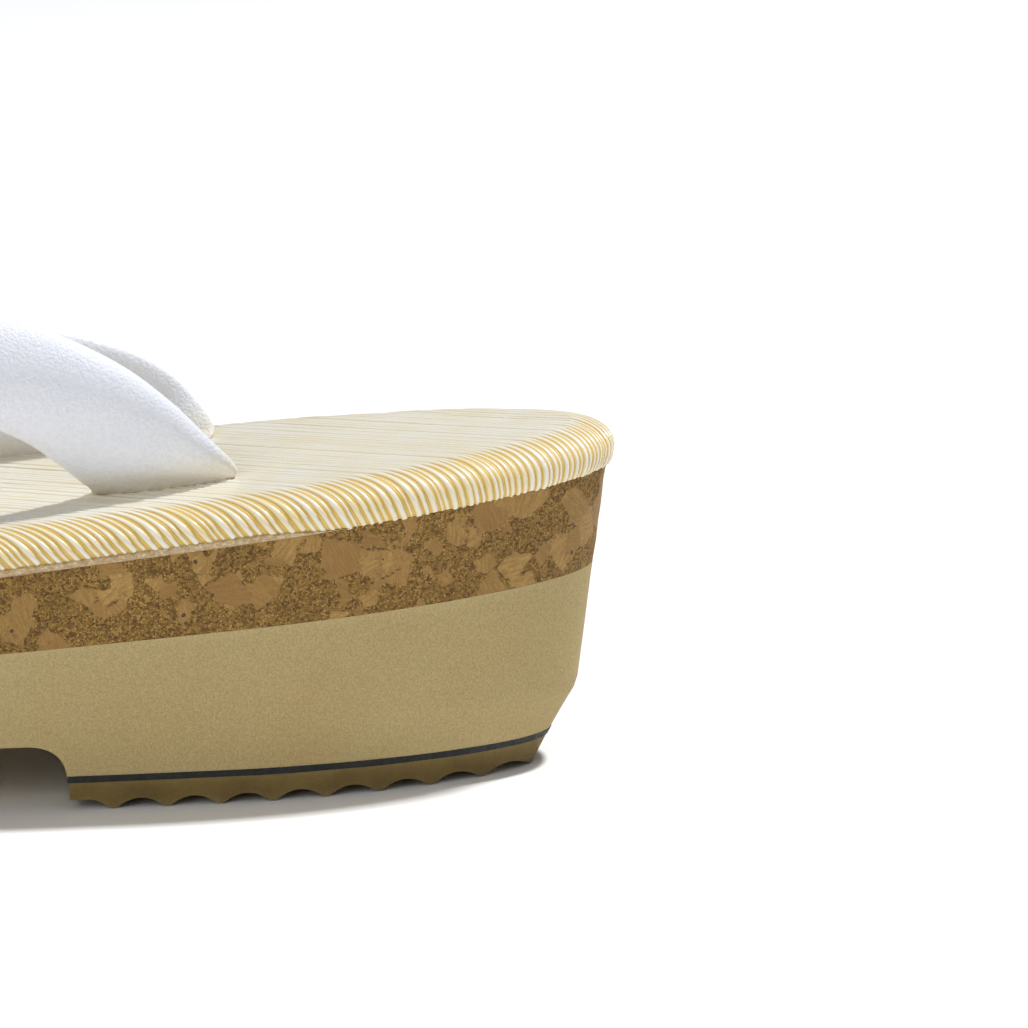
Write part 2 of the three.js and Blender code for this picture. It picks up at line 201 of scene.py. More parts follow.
def across_faces(station, first):
    """Faces straight across a ring, from one side to the other."""
    count = len(station)
    ring_size = len(ring(station, 0, 0))
    heel_closed = station[0] <= 0
    partner = [(ring_size - i - (0 if heel_closed else 1)) for i in range(count)]
    if heel_closed:
        partner[0] = 0
    if station[-1] >= LENGTH:
        partner[-1] = count - 1
    corners = [(i, i + 1, partner[i + 1], partner[i]) for i in range(count - 1)]
    return [[first + c for c in dict.fromkeys(quad)] for quad in corners]


def wall_faces(rows, count, closed=True):
    """Quads between rows that hold count points each."""
    last = count if closed else count - 1
    pairs = [(i, (i + 1) % count) for i in range(last)]
    starts = [(r * count, (r + 1) * count) for r in range(rows - 1)]
    return [[low + i, low + j, high + j, high + i] for low, high in starts for i, j in pairs]


def stacked(station, levels, bottom=True):
    """Points and faces of a stack of rings, each level an (inset, height) pair."""
    rings = [ring(station, inset, height) for inset, height in levels]
    count = len(rings[0])
    faces = wall_faces(len(rings), count)
    if bottom:
        faces += across_faces(station, 0)
    faces += across_faces(station, (len(rings) - 1) * count)
    return np.concatenate(rings), faces


# %% Turn points and faces into a Blender object
WELD = 0.002  # points closer than this are one point


def place_object(name, data):
    """A new object in the scene for a mesh, a lamp or a camera."""
    made = bpy.data.objects.new(name, data)
    bpy.context.scene.collection.objects.link(made)
    return made


def mesh_object(name, points, faces, attributes=None):
    """A smooth mesh object with its faces turned outwards. Points are in millimetres."""
    mesh = bpy.data.meshes.new(name)
    mesh.from_pydata((np.asarray(points) * MM).tolist(), [], faces)
    for title, values in (attributes or {}).items():
        kind = "FLOAT_VECTOR" if values.ndim == 2 else "FLOAT"
        field = mesh.attributes.new(title, kind, "POINT")
        field.data.foreach_set("vector" if values.ndim == 2 else "value", values.ravel())
    tidy = bmesh.new()
    tidy.from_mesh(mesh)
    bmesh.ops.remove_doubles(tidy, verts=tidy.verts, dist=WELD * MM)
    bmesh.ops.recalc_face_normals(tidy, faces=tidy.faces)
    tidy.to_mesh(mesh)
    tidy.free()
    mesh.shade_smooth()
    return place_object(name, mesh)


def soften(made, width, angle=35):
    """Rounds the sharp edges of a piece a little, as cut and buffed foam is."""
    edge = made.modifiers.new("soft_edges", "BEVEL")
    edge.width = width * MM
    edge.segments = 2
    edge.limit_method = "ANGLE"
    edge.angle_limit = math.radians(angle)
    edge.harden_normals = True
    return made


def finish_piece(made, material, slot, *replaced):
    """Gives a piece its material, its body and the solids that it stands for. The slot is not used."""
    made.data.materials.clear()
    made.data.materials.append(material)
    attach(made, "root")
    if replaced:
        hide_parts(*replaced)
    print(made.name, len(made.data.polygons), "faces")
    return made


# %% [markdown]
# ## Building node trees in a script
#
# Shader nodes and Geometry Nodes are both trees, and one helper serves them: it adds a node,
# sets its options, and for each input either links a socket or sets a value. A tree that is
# used in several places becomes a group with named inputs and outputs.


# %% Helpers for node trees
def add(tree, kind, inputs=None, **options):
    """A new node. An input given a socket is linked, and any other value is set."""
    node = tree.nodes.new(kind)
    for option, value in options.items():
        setattr(node, option, value)
    for key, value in (inputs or {}).items():
        if isinstance(value, bpy.types.NodeSocket):
            tree.links.new(value, node.inputs[key])
        else:
            node.inputs[key].default_value = value
    return node


def math_node(tree, operation, a, b=0.0, c=0.0):
    return add(tree, "ShaderNodeMath", {0: a, 1: b, 2: c}, operation=operation).outputs[0]


def vector_math(tree, operation, a, b=(0, 0, 0)):
    return add(tree, "ShaderNodeVectorMath", {0: a, 1: b}, operation=operation).outputs[0]


def scaled(tree, vector, factor):
    return add(tree, "ShaderNodeVectorMath", {0: vector, 3: factor}, operation="SCALE").outputs[0]


def combined(tree, x, y=0.0, z=0.0):
    return add(tree, "ShaderNodeCombineXYZ", {0: x, 1: y, 2: z}).outputs[0]


def noise(tree, where, scale, detail=2.0, distortion=0.0):
    inputs = {"Vector": where, "Scale": scale, "Detail": detail, "Distortion": distortion}
    return add(tree, "ShaderNodeTexNoise", inputs).outputs


def mix_colour(tree, factor, a, b, blend="MIX"):
    inputs = {0: factor, 6: a, 7: b}
    return add(tree, "ShaderNodeMix", inputs, data_type="RGBA", blend_type=blend).outputs[2]


def span(tree, value, low, high, out_low=0.0, out_high=1.0):
    """Maps a value from one range to another, and holds it there."""
    ranges = {"From Min": low, "From Max": high, "To Min": out_low, "To Max": out_high}
    return add(tree, "ShaderNodeMapRange", {"Value": value, **ranges}).outputs[0]


def new_group(name, kind, inputs, outputs):
    """A node group with named sockets, and its input and output nodes."""
    tree = bpy.data.node_groups.new(name, kind)
    for title, socket, default in inputs:
        made = tree.interface.new_socket(title, in_out="INPUT", socket_type="NodeSocket" + socket)
        if default is not None:
            made.default_value = default
    for title, socket in outputs:
        tree.interface.new_socket(title, in_out="OUTPUT", socket_type="NodeSocket" + socket)
    return tree, tree.nodes.new("NodeGroupInput").outputs, tree.nodes.new("NodeGroupOutput").inputs


def colour(red, green, blue):
    """A colour as a paint chart gives it, from 0 to 255, as the linear one that nodes use."""
    share = np.array([red, green, blue]) / 255
    linear = np.where(share <= 0.04045, share / 12.92, ((share + 0.055) / 1.055) ** 2.4)
    return (*linear, 1.0)


# %% [markdown]
# ## Shared shader groups
#
# Four effects come back on several materials, so each is one group. "Pebbles" is the fine
# grain of leather, foam and rubber: a cell pattern softened with noise. "Patches" mixes two
# colours in soft clouds, because no real surface has one colour. "Convex edges" finds convex
# edges, which the materials paint lighter; on the white leather that is a painted highlight.
# "Floor specks" is a speckled mask that grows towards the floor. They put out only colours,
# masks and heights, and the shader itself stays in each material.


# %% Pebbles, patches, convex edges and floor specks
def pebbles_group():
    inputs = [("Vector", "Vector", None), ("Size", "Float", 0.001), ("Softness", "Float", 0.5)]
    tree, given, made = new_group("pebbles", "ShaderNodeTree", inputs, [("Height", "Float")])
    scale = math_node(tree, "DIVIDE", 1.0, given["Size"])
    warp = noise(tree, given["Vector"], math_node(tree, "MULTIPLY", scale, 0.6))
    shift = scaled(tree, warp["Color"], given["Size"])
    place = vector_math(tree, "ADD", given["Vector"], shift)
    inputs = {"Vector": place, "Scale": scale, "Smoothness": given["Softness"]}
    cells = add(tree, "ShaderNodeTexVoronoi", inputs, feature="SMOOTH_F1").outputs
    fine = noise(tree, place, math_node(tree, "MULTIPLY", scale, 2.0))
    hill = math_node(tree, "SUBTRACT", 1.0, cells["Distance"])
    tree.links.new(math_node(tree, "MULTIPLY_ADD", fine["Fac"], 0.35, hill), made["Height"])
    return tree


def patches_group():
    inputs = [
        ("Vector", "Vector", None),
        ("Colour", "Color", None),
        ("Second Colour", "Color", None),
        ("Size", "Float", 0.02),
        ("Contrast", "Float", 1.0),
    ]
    tree, given, made = new_group("patches", "ShaderNodeTree", inputs, [("Colour", "Color")])
    scale = math_node(tree, "DIVIDE", 1.0, given["Size"])
    clouds = noise(tree, given["Vector"], scale, 4.0)
    centred = math_node(tree, "SUBTRACT", clouds["Fac"], 0.5)
    mask = span(tree, math_node(tree, "MULTIPLY", centred, given["Contrast"]), -0.25, 0.25)
    tree.links.new(mix_colour(tree, mask, given["Colour"], given["Second Colour"]), made["Colour"])
    return tree


def convex_edges_group():
    inputs = [("Vector", "Vector", None), ("Amount", "Float", 0.5)]
    tree, given, made = new_group("convex_edges", "ShaderNodeTree", inputs, [("Mask", "Float")])
    pointiness = add(tree, "ShaderNodeNewGeometry").outputs["Pointiness"]
    broken = noise(tree, given["Vector"], 900.0, 3.0)
    uneven = math_node(tree, "MULTIPLY", span(tree, pointiness, 0.505, 0.56), broken["Fac"])
    tree.links.new(math_node(tree, "MULTIPLY", uneven, given["Amount"]), made["Mask"])
    return tree


def floor_specks_group():
    inputs = [("Vector", "Vector", None), ("Reach", "Float", 0.004), ("Amount", "Float", 0.4)]
    tree, given, made = new_group("floor_specks", "ShaderNodeTree", inputs, [("Mask", "Float")])
    height = add(tree, "ShaderNodeSeparateXYZ", {0: given["Vector"]}).outputs["Z"]
    low = math_node(tree, "SUBTRACT", 1.0, math_node(tree, "DIVIDE", height, given["Reach"]))
    specks = noise(tree, given["Vector"], 1400.0, 5.0)
    uneven = math_node(tree, "MULTIPLY", span(tree, low, 0.0, 1.0), specks["Fac"])
    tree.links.new(math_node(tree, "MULTIPLY", uneven, given["Amount"]), made["Mask"])
    return tree


PEBBLES = pebbles_group()
PATCHES = patches_group()
CONVEX_EDGES = convex_edges_group()
FLOOR_SPECKS = floor_specks_group()
print("shader groups", [group.name for group in (PEBBLES, PATCHES, CONVEX_EDGES, FLOOR_SPECKS)])


# %% Helpers for materials
def new_material(name, **constants):
    """A material with its Principled shader, whose constant values are set on its sockets."""
    made = bpy.data.materials.new(name)
    made.use_nodes = True
    shader = made.node_tree.nodes["Principled BSDF"]
    for socket, value in constants.items():
        shader.inputs[socket.replace("_", " ")].default_value = value
    where = add(made.node_tree, "ShaderNodeTexCoord").outputs["Object"]
    return made, made.node_tree, shader, where


def use_group(tree, group, **inputs):
    node = add(tree, "ShaderNodeGroup", node_tree=group)
    for title, value in inputs.items():
        socket = node.inputs[title.replace("_", " ")]
        if isinstance(value, bpy.types.NodeSocket):
            tree.links.new(value, socket)
        else:
            socket.default_value = value
    return node.outputs


def clouded(tree, where, first, second, size, contrast=1.0):
    """Two colours in soft clouds. The size of a cloud is in metres."""
    inputs = {"Colour": first, "Second_Colour": second, "Size": size, "Contrast": contrast}
    return use_group(tree, PATCHES, Vector=where, **inputs)["Colour"]


def attribute(tree, title, output="Fac"):
    return add(tree, "ShaderNodeAttribute", attribute_name=title).outputs[output]


def bump(tree, shader, height, distance, strength=1.0):
    """Joins a height pattern to the shader's normal. The distance is in metres."""
    inputs = {"Strength": strength, "Distance": distance, "Height": height}
    tree.links.new(add(tree, "ShaderNodeBump", inputs).outputs[0], shader.inputs["Normal"])


def dress(tree, shader, paint, roughness):
    """Joins a colour and a roughness that change over the surface to the shader."""
    tree.links.new(paint, shader.inputs["Base Color"])
    tree.links.new(roughness, shader.inputs["Roughness"])


# %% [markdown]
# ## The padded top
#
# The top of a zori is a board with a thin pad, wrapped in cloth that rolls over the edge. It
# could be a subdivided box, but the roll has a known section: a wide curve above and a tight
# one below. So it is lofted from rings, one for each step round the roll. Each point also
# keeps where it lay on the cloth before it was wrapped. That flat map is what lets the ribs
# run straight over the top and bend over the edge, as woven ribs do.

# %% The roll of the cover, and its flat map
ROLL_OVER, ROLL_UNDER = 7.0, 1.3  # widths of the upper and the lower curve
ROLL_MIDDLE = 0.42  # height of the widest point, as a share of the cover
CLOTH_SINK = 0.2  # the ground of the cloth lies this far below the crests of its ribs
RAW_EDGE = 1.35  # height of the raw edge that shows under the cloth along the sides
RAW_EDGE_START, RAW_EDGE_RUN = 40, 18  # station where it begins, and how far it takes to grow
UNDER_THE_CLOTH = 0.7  # share of the raw edge's height that the cloth leaves bare


def roll_levels(steps_under, steps_over):
    """(inset, share of the cover's height) round the roll, from the underside to the top."""
    low = np.linspace(0, math.pi / 2, steps_under, endpoint=False)
    high = np.linspace(0, math.pi / 2, steps_over + 1)
    under = (ROLL_UNDER * (1 - np.sin(low)), ROLL_MIDDLE * (1 - np.cos(low)))
    over = (ROLL_OVER * (1 - np.cos(high)), ROLL_MIDDLE + (1 - ROLL_MIDDLE) * np.sin(high))
    return np.concatenate([np.stack(under, axis=1), np.stack(over, axis=1)])


def cover_heights(station, share):
    bottom = layer("cover_bottom", station)
    return bottom + share * (layer("cover_top", station) - bottom)


def raw_edge_height(station):
    """Height of the raw edge, which runs out towards the heel."""
    rise = np.clip((station - RAW_EDGE_START) / RAW_EDGE_RUN, 0, 1)
    return RAW_EDGE * rise * rise * (3 - 2 * rise)


COVER_STATIONS = spaced_stations(1.6)
ROLL = roll_levels(7, 16)
cover_levels = [(inset + CLOTH_SINK, cover_heights(COVER_STATIONS, share)) for inset, share in ROLL]
cover_points, cover_faces = stacked(COVER_STATIONS, cover_levels, bottom=False)
ring_size = len(ring(COVER_STATIONS, 0, 0))
print("rings", len(ROLL), "points in each", ring_size)

# %% Where each point of the cloth lay before it was wrapped
rings = cover_points.reshape(len(ROLL), ring_size, 3)
steps = np.linalg.norm(np.diff(rings, axis=0), axis=2)
walked = np.concatenate([np.cumsum(steps[::-1], axis=0)[::-1], np.zeros((1, ring_size))])
outward = ring(COVER_STATIONS, -1, 0) - ring(COVER_STATIONS, 0, 0)
flat = rings[-1][None] + outward[None] * walked[..., None]
flat[..., 2] = 0
lift = rings[..., 2] - rings[:1, :, 2]
ring_station = LENGTH / 2 - ring(COVER_STATIONS, 0, 0)[:, 1]
past_end = UNDER_THE_CLOTH * raw_edge_height(ring_station)[None] - lift
print(f"the cloth rolls over {walked.max():.1f} mm of edge")

# %% [markdown]
# ## The cloth's ground
#
# Between the white ribs the golden ground of the cloth shows. Its material is a fine plain
# weave: two wave patterns across each other, read from the flat map so that the threads
# follow the roll. It is a satin thread, so its roughness is moderate and changes with the
# weave.


# %% Material of the cloth's ground
def cloth_ground_material():
    made, tree, shader, where = new_material("cloth_ground", Roughness=0.5)
    flat_map = attribute(tree, "flat", "Vector")
    turned = add(tree, "ShaderNodeMapping", {"Vector": flat_map, "Rotation": (0, 0, -math.pi / 4)})

    def threads(scale, direction):
        inputs = {"Vector": turned.outputs[0], "Scale": scale, "Distortion": 1.5}
        return add(tree, "ShaderNodeTexWave", inputs, bands_direction=direction).outputs["Fac"]

    weave = math_node(tree, "MAXIMUM", threads(900.0, "X"), threads(700.0, "Y"))
    gold = clouded(tree, where, colour(232, 200, 112), colour(218, 184, 90), 0.006, 1.2)
    deep = mix_colour(tree, span(tree, weave, 0.2, 0.9), colour(200, 160, 74), gold)
    dress(tree, shader, deep, span(tree, weave, 0, 1, 0.62, 0.42))
    bump(tree, shader, weave, 0.00006, 0.7)
    return made


CLOTH_GROUND = cloth_ground_material()
cover_cloth = mesh_object(
    "cover_cloth",
    cover_points,
    cover_faces + across_faces(COVER_STATIONS, 0),
    {"flat": flat.reshape(-1, 3) * MM},
)
finish_piece(cover_cloth, CLOTH_GROUND, "cover", "top_cover")

# %% [markdown]
# ## The ribs, with Geometry Nodes
#
# The cloth has more than a hundred raised ribs that run across it on the slant. Modelling
# each by hand would take days, and an array can't follow the roll. A Geometry Nodes tree does
# it in the order that a weaver and a shoemaker would:
#
# 1. lay straight lines side by side on the flat cloth, a little uneven in place and width;
# 2. look up, with Sample UV Surface, where each point of a line goes on the wrapped cloth;
# 3. cut off what hangs past the cloth's edge, and thin out the points on the flat top;
# 4. sweep a half-round section along each line, standing on the cloth's own normal.


# %% The tree that lays and wraps the ribs
def rib_tree():
    inputs = [
        ("Skin", "Geometry", None),
        ("Reach", "Float", 0.15),
        ("Pitch", "Float", 0.0015),
        ("Groove", "Float", 0.0003),
        ("Step", "Float", 0.001),
        ("Keep Every", "Int", 5),
        ("Height", "Float", 0.4),
        ("Sink", "Float", 0.0001),
        ("Unevenness", "Float", 0.5),
        ("Seed", "Int", 4),
        ("Material", "Material", None),
    ]
    outputs = [("Ribs", "Geometry")]
    tree, given, made = new_group("ribs_over_a_sole", "GeometryNodeTree", inputs, outputs)
    slant = math.sqrt(0.5)

    def sub(operation, a, b=0.0):
        return math_node(tree, operation, a, b)

    def compare(operation, a, b):
        return add(tree, "FunctionNodeCompare", {0: a, 1: b}, operation=operation).outputs[0]

    def either(operation, a, b=False):
        return add(tree, "FunctionNodeBooleanMath", {0: a, 1: b}, operation=operation).outputs[0]

    def without(geometry, chosen, domain="POINT"):
        inputs = {0: geometry, 1: chosen}
        return add(tree, "GeometryNodeDeleteGeometry", inputs, domain=domain).outputs[0]

    def chance(key, low, high, salt):
        seed = sub("ADD", given["Seed"], float(salt))
        return add(tree, "FunctionNodeRandomValue", {2: low, 3: high, 7: key, 8: seed}).outputs[1]

    def store(geometry, title, value, kind="FLOAT"):
        inputs = {0: geometry, "Name": title}
        node = add(tree, "GeometryNodeStoreNamedAttribute", inputs, data_type=kind)
        tree.links.new(value, node.inputs["Value"])
        return node.outputs[0]

    def read(title, kind="FLOAT"):
        node = add(tree, "GeometryNodeInputNamedAttribute", {"Name": title}, data_type=kind)
        return node.outputs["Attribute"]

    # Lines on the flat cloth. Each rib has its own share of it, and the shares add up.
    count = sub("CEIL", sub("DIVIDE", sub("MULTIPLY", given["Reach"], 2.0), given["Pitch"]))
    starts = add(tree, "GeometryNodeMeshLine", {"Count": count, "Offset": (0, 0, 0)})
    index = add(tree, "GeometryNodeInputIndex").outputs[0]
    spread = sub("MULTIPLY", chance(index, -0.5, 0.6, 0), given["Unevenness"])
    share = sub("MULTIPLY", sub("ADD", spread, 1.0), given["Pitch"])
    running = {"data_type": "FLOAT", "domain": "POINT"}
    total = add(tree, "GeometryNodeAccumulateField", {0: share}, **running)
    middle = sub("SUBTRACT", total.outputs["Leading"], sub("MULTIPLY", share, 0.5))
    across = sub("SUBTRACT", middle, given["Reach"])
    side = sub("MULTIPLY", across, slant)
    place = combined(tree, side, sub("MULTIPLY", side, -1.0))
    starts = add(tree, "GeometryNodeSetPosition", {0: starts.outputs[0], 2: place}).outputs[0]
    starts = store(starts, "share", share)
    length = sub("MULTIPLY", given["Reach"], 2.0)
    line = add(tree, "GeometryNodeCurvePrimitiveLine", {3: length}, mode="DIRECTION")
    line.inputs["Direction"].default_value = (slant, slant, 0)
    back = sub("MULTIPLY", given["Reach"], -slant)
    tree.links.new(combined(tree, back, back), line.inputs["Start"])
    inputs = {0: line.outputs[0], 3: given["Step"]}
    line = add(tree, "GeometryNodeResampleCurve", inputs, mode="LENGTH")
    lines = add(tree, "GeometryNodeInstanceOnPoints", {0: starts, 2: line.outputs[0]})
    lines = add(tree, "GeometryNodeRealizeInstances", {0: lines.outputs[0]}).outputs[0]

    # Each line wanders a little, and its width changes along it.
    of_rib = add(tree, "GeometryNodeCurveOfPoint")
    rib, along = of_rib.outputs["Curve Index"], of_rib.outputs["Index in Curve"]
    run = sub("MULTIPLY", along, given["Step"])

    def drift(per_metre, per_rib):
        """A smooth random value about 0 that changes along a rib and from rib to rib."""
        at = combined(tree, sub("MULTIPLY", run, per_metre), sub("MULTIPLY", rib, per_rib))
        return sub("SUBTRACT", noise(tree, at, 1.0)["Fac"], 0.5)

    wander = sub("MULTIPLY", drift(45.0, 7.31), given["Pitch"])
    wander = sub("MULTIPLY", sub("MULTIPLY", wander, given["Unevenness"]), 0.7)
    shift = combined(tree, wander, sub("MULTIPLY", wander, -1.0))
    lines = add(tree, "GeometryNodeSetPosition", {0: lines, 3: shift}).outputs[0]
    swell = sub("MULTIPLY", drift(90.0, 3.77), sub("MULTIPLY", given["Unevenness"], 0.5))
    size = sub("MULTIPLY", read("share"), sub("ADD", 1.0, swell))
    position = add(tree, "GeometryNodeInputPosition").outputs[0]
    lines = store(lines, "flat", position, "FLOAT_VECTOR")
    lines = store(lines, "size", size)
    lines = store(lines, "shade", chance(rib, 0.0, 1.0, 2))

    # Wrap the lines: the flat map says where each point goes.
    normal = add(tree, "GeometryNodeInputNormal").outputs[0]
    skin = store(given["Skin"], "outward", normal, "FLOAT_VECTOR")
    flat_map = read("flat", "FLOAT_VECTOR")

    def wrapped(value, kind):
        inputs = {"Mesh": skin, "UV Map": flat_map, "Sample UV": flat_map}
        node = add(tree, "GeometryNodeSampleUVSurface", inputs, data_type=kind)
        tree.links.new(value, node.inputs["Value"])
        return node.outputs

    over = wrapped(read("past_end"), "FLOAT")
    wrap = wrapped(read("wrap"), "FLOAT")["Value"]
    missing = either("NOT", over["Is Valid"])
    past = compare("GREATER_THAN", over["Value"], 0.0)
    lines = without(lines, either("OR", missing, past))
    between = compare("GREATER_THAN", sub("MODULO", along, given["Keep Every"]), 0.5)
    level = compare("LESS_THAN", wrap, 0.01)
    lines = without(lines, either("AND", between, level))
    points = add(tree, "GeometryNodeSplineLength").outputs["Point Count"]
    lines = without(lines, compare("LESS_THAN", points, 3.5), "CURVE")

    # Stand each line on the cloth, with its own normal.
    lines = store(lines, "opened", wrap)
    out = wrapped(read("outward", "FLOAT_VECTOR"), "FLOAT_VECTOR")["Value"]
    spot = wrapped(position, "FLOAT_VECTOR")["Value"]
    lines = store(lines, "spot", spot, "FLOAT_VECTOR")
    lines = add(tree, "GeometryNodeSetCurveNormal", {0: lines, "Normal": out}, mode="FREE").outputs[0]
    down = scaled(tree, out, sub("MULTIPLY", given["Sink"], -1.0))
    target = vector_math(tree, "ADD", read("spot", "FLOAT_VECTOR"), down)
    lines = add(tree, "GeometryNodeSetPosition", {0: lines, 2: target}).outputs[0]

    # The half-round section, one unit wide, swept along each line at the rib's own size.
    section = add(tree, "GeometryNodeCurveArc", {"Resolution": 6, "Radius": 1.0}, mode="RADIUS")
    section.inputs["Start Angle"].default_value = -math.pi / 2
    section.inputs["Sweep Angle"].default_value = math.pi
    section = add(tree, "GeometryNodeSetSplineCyclic", {0: section.outputs[0], 2: True})
    side = add(tree, "ShaderNodeSeparateXYZ", {0: position}).outputs["Y"]
    section = store(section.outputs[0], "side", math_node(tree, "ABSOLUTE", side))
    squash = combined(tree, given["Height"], 0.5, 1.0)
    section = add(tree, "GeometryNodeTransform", {0: section, "Scale": squash}).outputs[0]
    swept = add(tree, "GeometryNodeCurveToMesh", {0: lines, 1: section, "Fill Caps": True})

    # The ribs overlap a little on the flat top, and the roll opens grooves between them.
    groove = sub("MULTIPLY", span(tree, read("opened"), 0.0, 0.22, -0.1, 1.0), given["Groove"])
    tree.links.new(sub("SUBTRACT", read("size"), groove), swept.inputs["Scale"])
    smooth = add(tree, "GeometryNodeSetShadeSmooth", {0: swept.outputs[0]}).outputs[0]
    whole = add(tree, "GeometryNodeRealizeInstances", {0: smooth}).outputs[0]
    dressed = add(tree, "GeometryNodeSetMaterial", {0: whole, 2: given["Material"]}).outputs[0]
    tree.links.new(dressed, made["Ribs"])
    return tree


RIB_TREE = rib_tree()
print(RIB_TREE.name, len(RIB_TREE.nodes), "nodes")


# %% Run a tree on a mesh, and keep the result as a plain mesh
def grow(name, base, tree, **values):
    """The plain mesh that a Geometry Nodes tree makes from base, which is then removed."""
    modifier = base.modifiers.new(tree.name, "NODES")
    modifier.node_group = tree
    sockets = [item for item in tree.interface.items_tree if item.in_out == "INPUT"]
    identifiers = {item.name: item.identifier for item in sockets}
    for title, value in values.items():
        modifier[identifiers[title.replace("_", " ")]] = value
    base.update_tag()
    ready = base.evaluated_get(bpy.context.evaluated_depsgraph_get())
    mesh = bpy.data.meshes.new_from_object(ready)
    mesh.name = name
    base.modifiers.remove(modifier)
    bpy.data.objects.remove(base)
    triangles = sum(len(face.vertices) - 2 for face in mesh.polygons)
    print(name, triangles, "triangles")
    return place_object(name, mesh)


# %% [markdown]
# ## The ribs' thread
#
# The ribs are bleached, glossy thread. Each has its own shade between white and cream, from
# an attribute that the tree stored, and fine turns of thread cross it. A thin clear coat
# gives the crests their gloss.


# %% Material of the ribs, and the ribs themselves
def rib_material():
    made, tree, shader, where = new_material("rib_thread", Roughness=0.34, Coat_Roughness=0.1)
    shader.inputs["Coat Weight"].default_value = 0.45
    flat_map, shade = attribute(tree, "flat", "Vector"), attribute(tree, "shade")
    side, opened = attribute(tree, "side"), attribute(tree, "opened")
    inputs = {"Vector": flat_map, "Scale": 520.0, "Distortion": 2.5, "Detail": 2.0}
    threads = add(tree, "ShaderNodeTexWave", inputs, bands_direction="DIAGONAL").outputs["Fac"]
    white = clouded(tree, where, colour(240, 238, 230), colour(237, 229, 204), 0.009, 0.9)

    def where_opened(mask, on_the_flat):
        """A mask that is weaker on the flat top, where the ribs lie closed."""
        return math_node(tree, "MULTIPLY", mask, span(tree, opened, 0.0, 0.25, on_the_flat, 1.0))

    creamy = where_opened(span(tree, shade, 0.45, 1.0, 0.0, 0.8), 0.35)
    cream = mix_colour(tree, creamy, white, colour(238, 220, 170))
    golden = where_opened(span(tree, side, 0.28, 1.0, 0.0, 0.9), 0.12)
    edged = mix_colour(tree, golden, cream, colour(226, 194, 112))
    dress(tree, shader, edged, span(tree, threads, 0, 1, 0.42, 0.28))
    bump(tree, shader, threads, 0.00003, 0.5)
    return made


RIB_PITCH, RIB_GROOVE, RIB_STEP, RIB_SINK = 1.16, 0.34, 0.85, 0.06
WRAP_ROOM = 14  # room past the outline for the cloth that is wrapped over the sides
skin_fields = {
    "flat": flat.reshape(-1, 3) * MM,
    "past_end": past_end.ravel(),
    "wrap": walked.ravel() / walked.max(),
}
rib_skin = mesh_object("rib_skin", cover_points, cover_faces, skin_fields)
rib_sizes = {
    "Reach": math.hypot(LENGTH / 2 + WRAP_ROOM, BALL_HALF + WRAP_ROOM) * MM,
    "Pitch": RIB_PITCH * MM,
    "Groove": RIB_GROOVE * MM,
    "Step": RIB_STEP * MM,
    "Keep Every": 6,
    "Height": 0.28,
    "Sink": RIB_SINK * MM,
    "Unevenness": 0.6,
    "Seed": 11,
}
cover_ribs = grow("cover_ribs", rib_skin, RIB_TREE, Material=rib_material(), **rib_sizes)
finish_piece(cover_ribs, cover_ribs.data.materials[0], "cover")

# %% [markdown]
# ## The raw edge
#
# Along the sides the cloth is cut a little short, and the pale felt that backs it shows as a
# thin band above the cork. It is a shallow loft of its own over the lower part of the roll.


# %% Felt band along the sides
def felt_material():
    made, tree, shader, where = new_material("backing_felt", Roughness=0.9)
    shader.inputs["Sheen Weight"].default_value = 0.3
    fibres = use_group(tree, PEBBLES, Vector=where, Size=0.0006, Softness=0.4)
    pale = clouded(tree, where, colour(232, 214, 172), colour(198, 168, 120), 0.001, 2.6)
    shaded = span(tree, fibres["Height"], 0.6, 1.1, 0.5, 0.0)
    felt = mix_colour(tree, shaded, pale, colour(150, 116, 76))
    tree.links.new(felt, shader.inputs["Base Color"])
    bump(tree, shader, fibres["Height"], 0.0002, 0.8)
    return made


COVER_DEPTH = 6.6  # from the top of the cover to its underside
FELT_THICK = 0.42


def felt_band():
    station = spaced_stations(0.8, RAW_EDGE_START + 1, LENGTH)
    height = raw_edge_height(station)
    levels = []
    for share, proud in ((0.0, 0.0), (0.03, 0.8), (0.5, 1.0), (0.92, 0.9), (1.0, 0.0)):
        lift = share * height
        angle = np.arccos(np.clip(1 - lift / COVER_DEPTH / ROLL_MIDDLE, -1, 1))
        inset = ROLL_UNDER * (1 - np.sin(angle)) + CLOTH_SINK + 0.05 - FELT_THICK * proud
        levels.append((inset, layer("cover_bottom", station) + lift - 0.04))
    back = [(inset + 1.0, height) for inset, height in (levels[-1], levels[0])]
    return stacked_band(station, levels + back)


def stacked_band(station, levels):
    """A closed band round part of the sole, open straight across."""
    rows = [ring(station, inset, height) for inset, height in levels]
    count = len(rows[0])
    rows.append(rows[0])
    faces = wall_faces(len(rows), count, closed=False)
    ends = [[r * count + end for r in range(len(levels))] for end in (0, count - 1)]
    return np.concatenate(rows), faces + ends


raw_edge = mesh_object("raw_edge", *felt_band())
finish_piece(raw_edge, felt_material(), "cover")

# %% [markdown]
# ## Pressed cork
#
# Cork sheet is granules and larger chips pressed together and cut through, so the pattern is
# solid: it must be the same all through the block. Three-dimensional cell textures on Object
# coordinates do that. Large cells are chips where a random number per cell says so, and the
# rest is filled with small cells, the granules, with dark gaps between them.


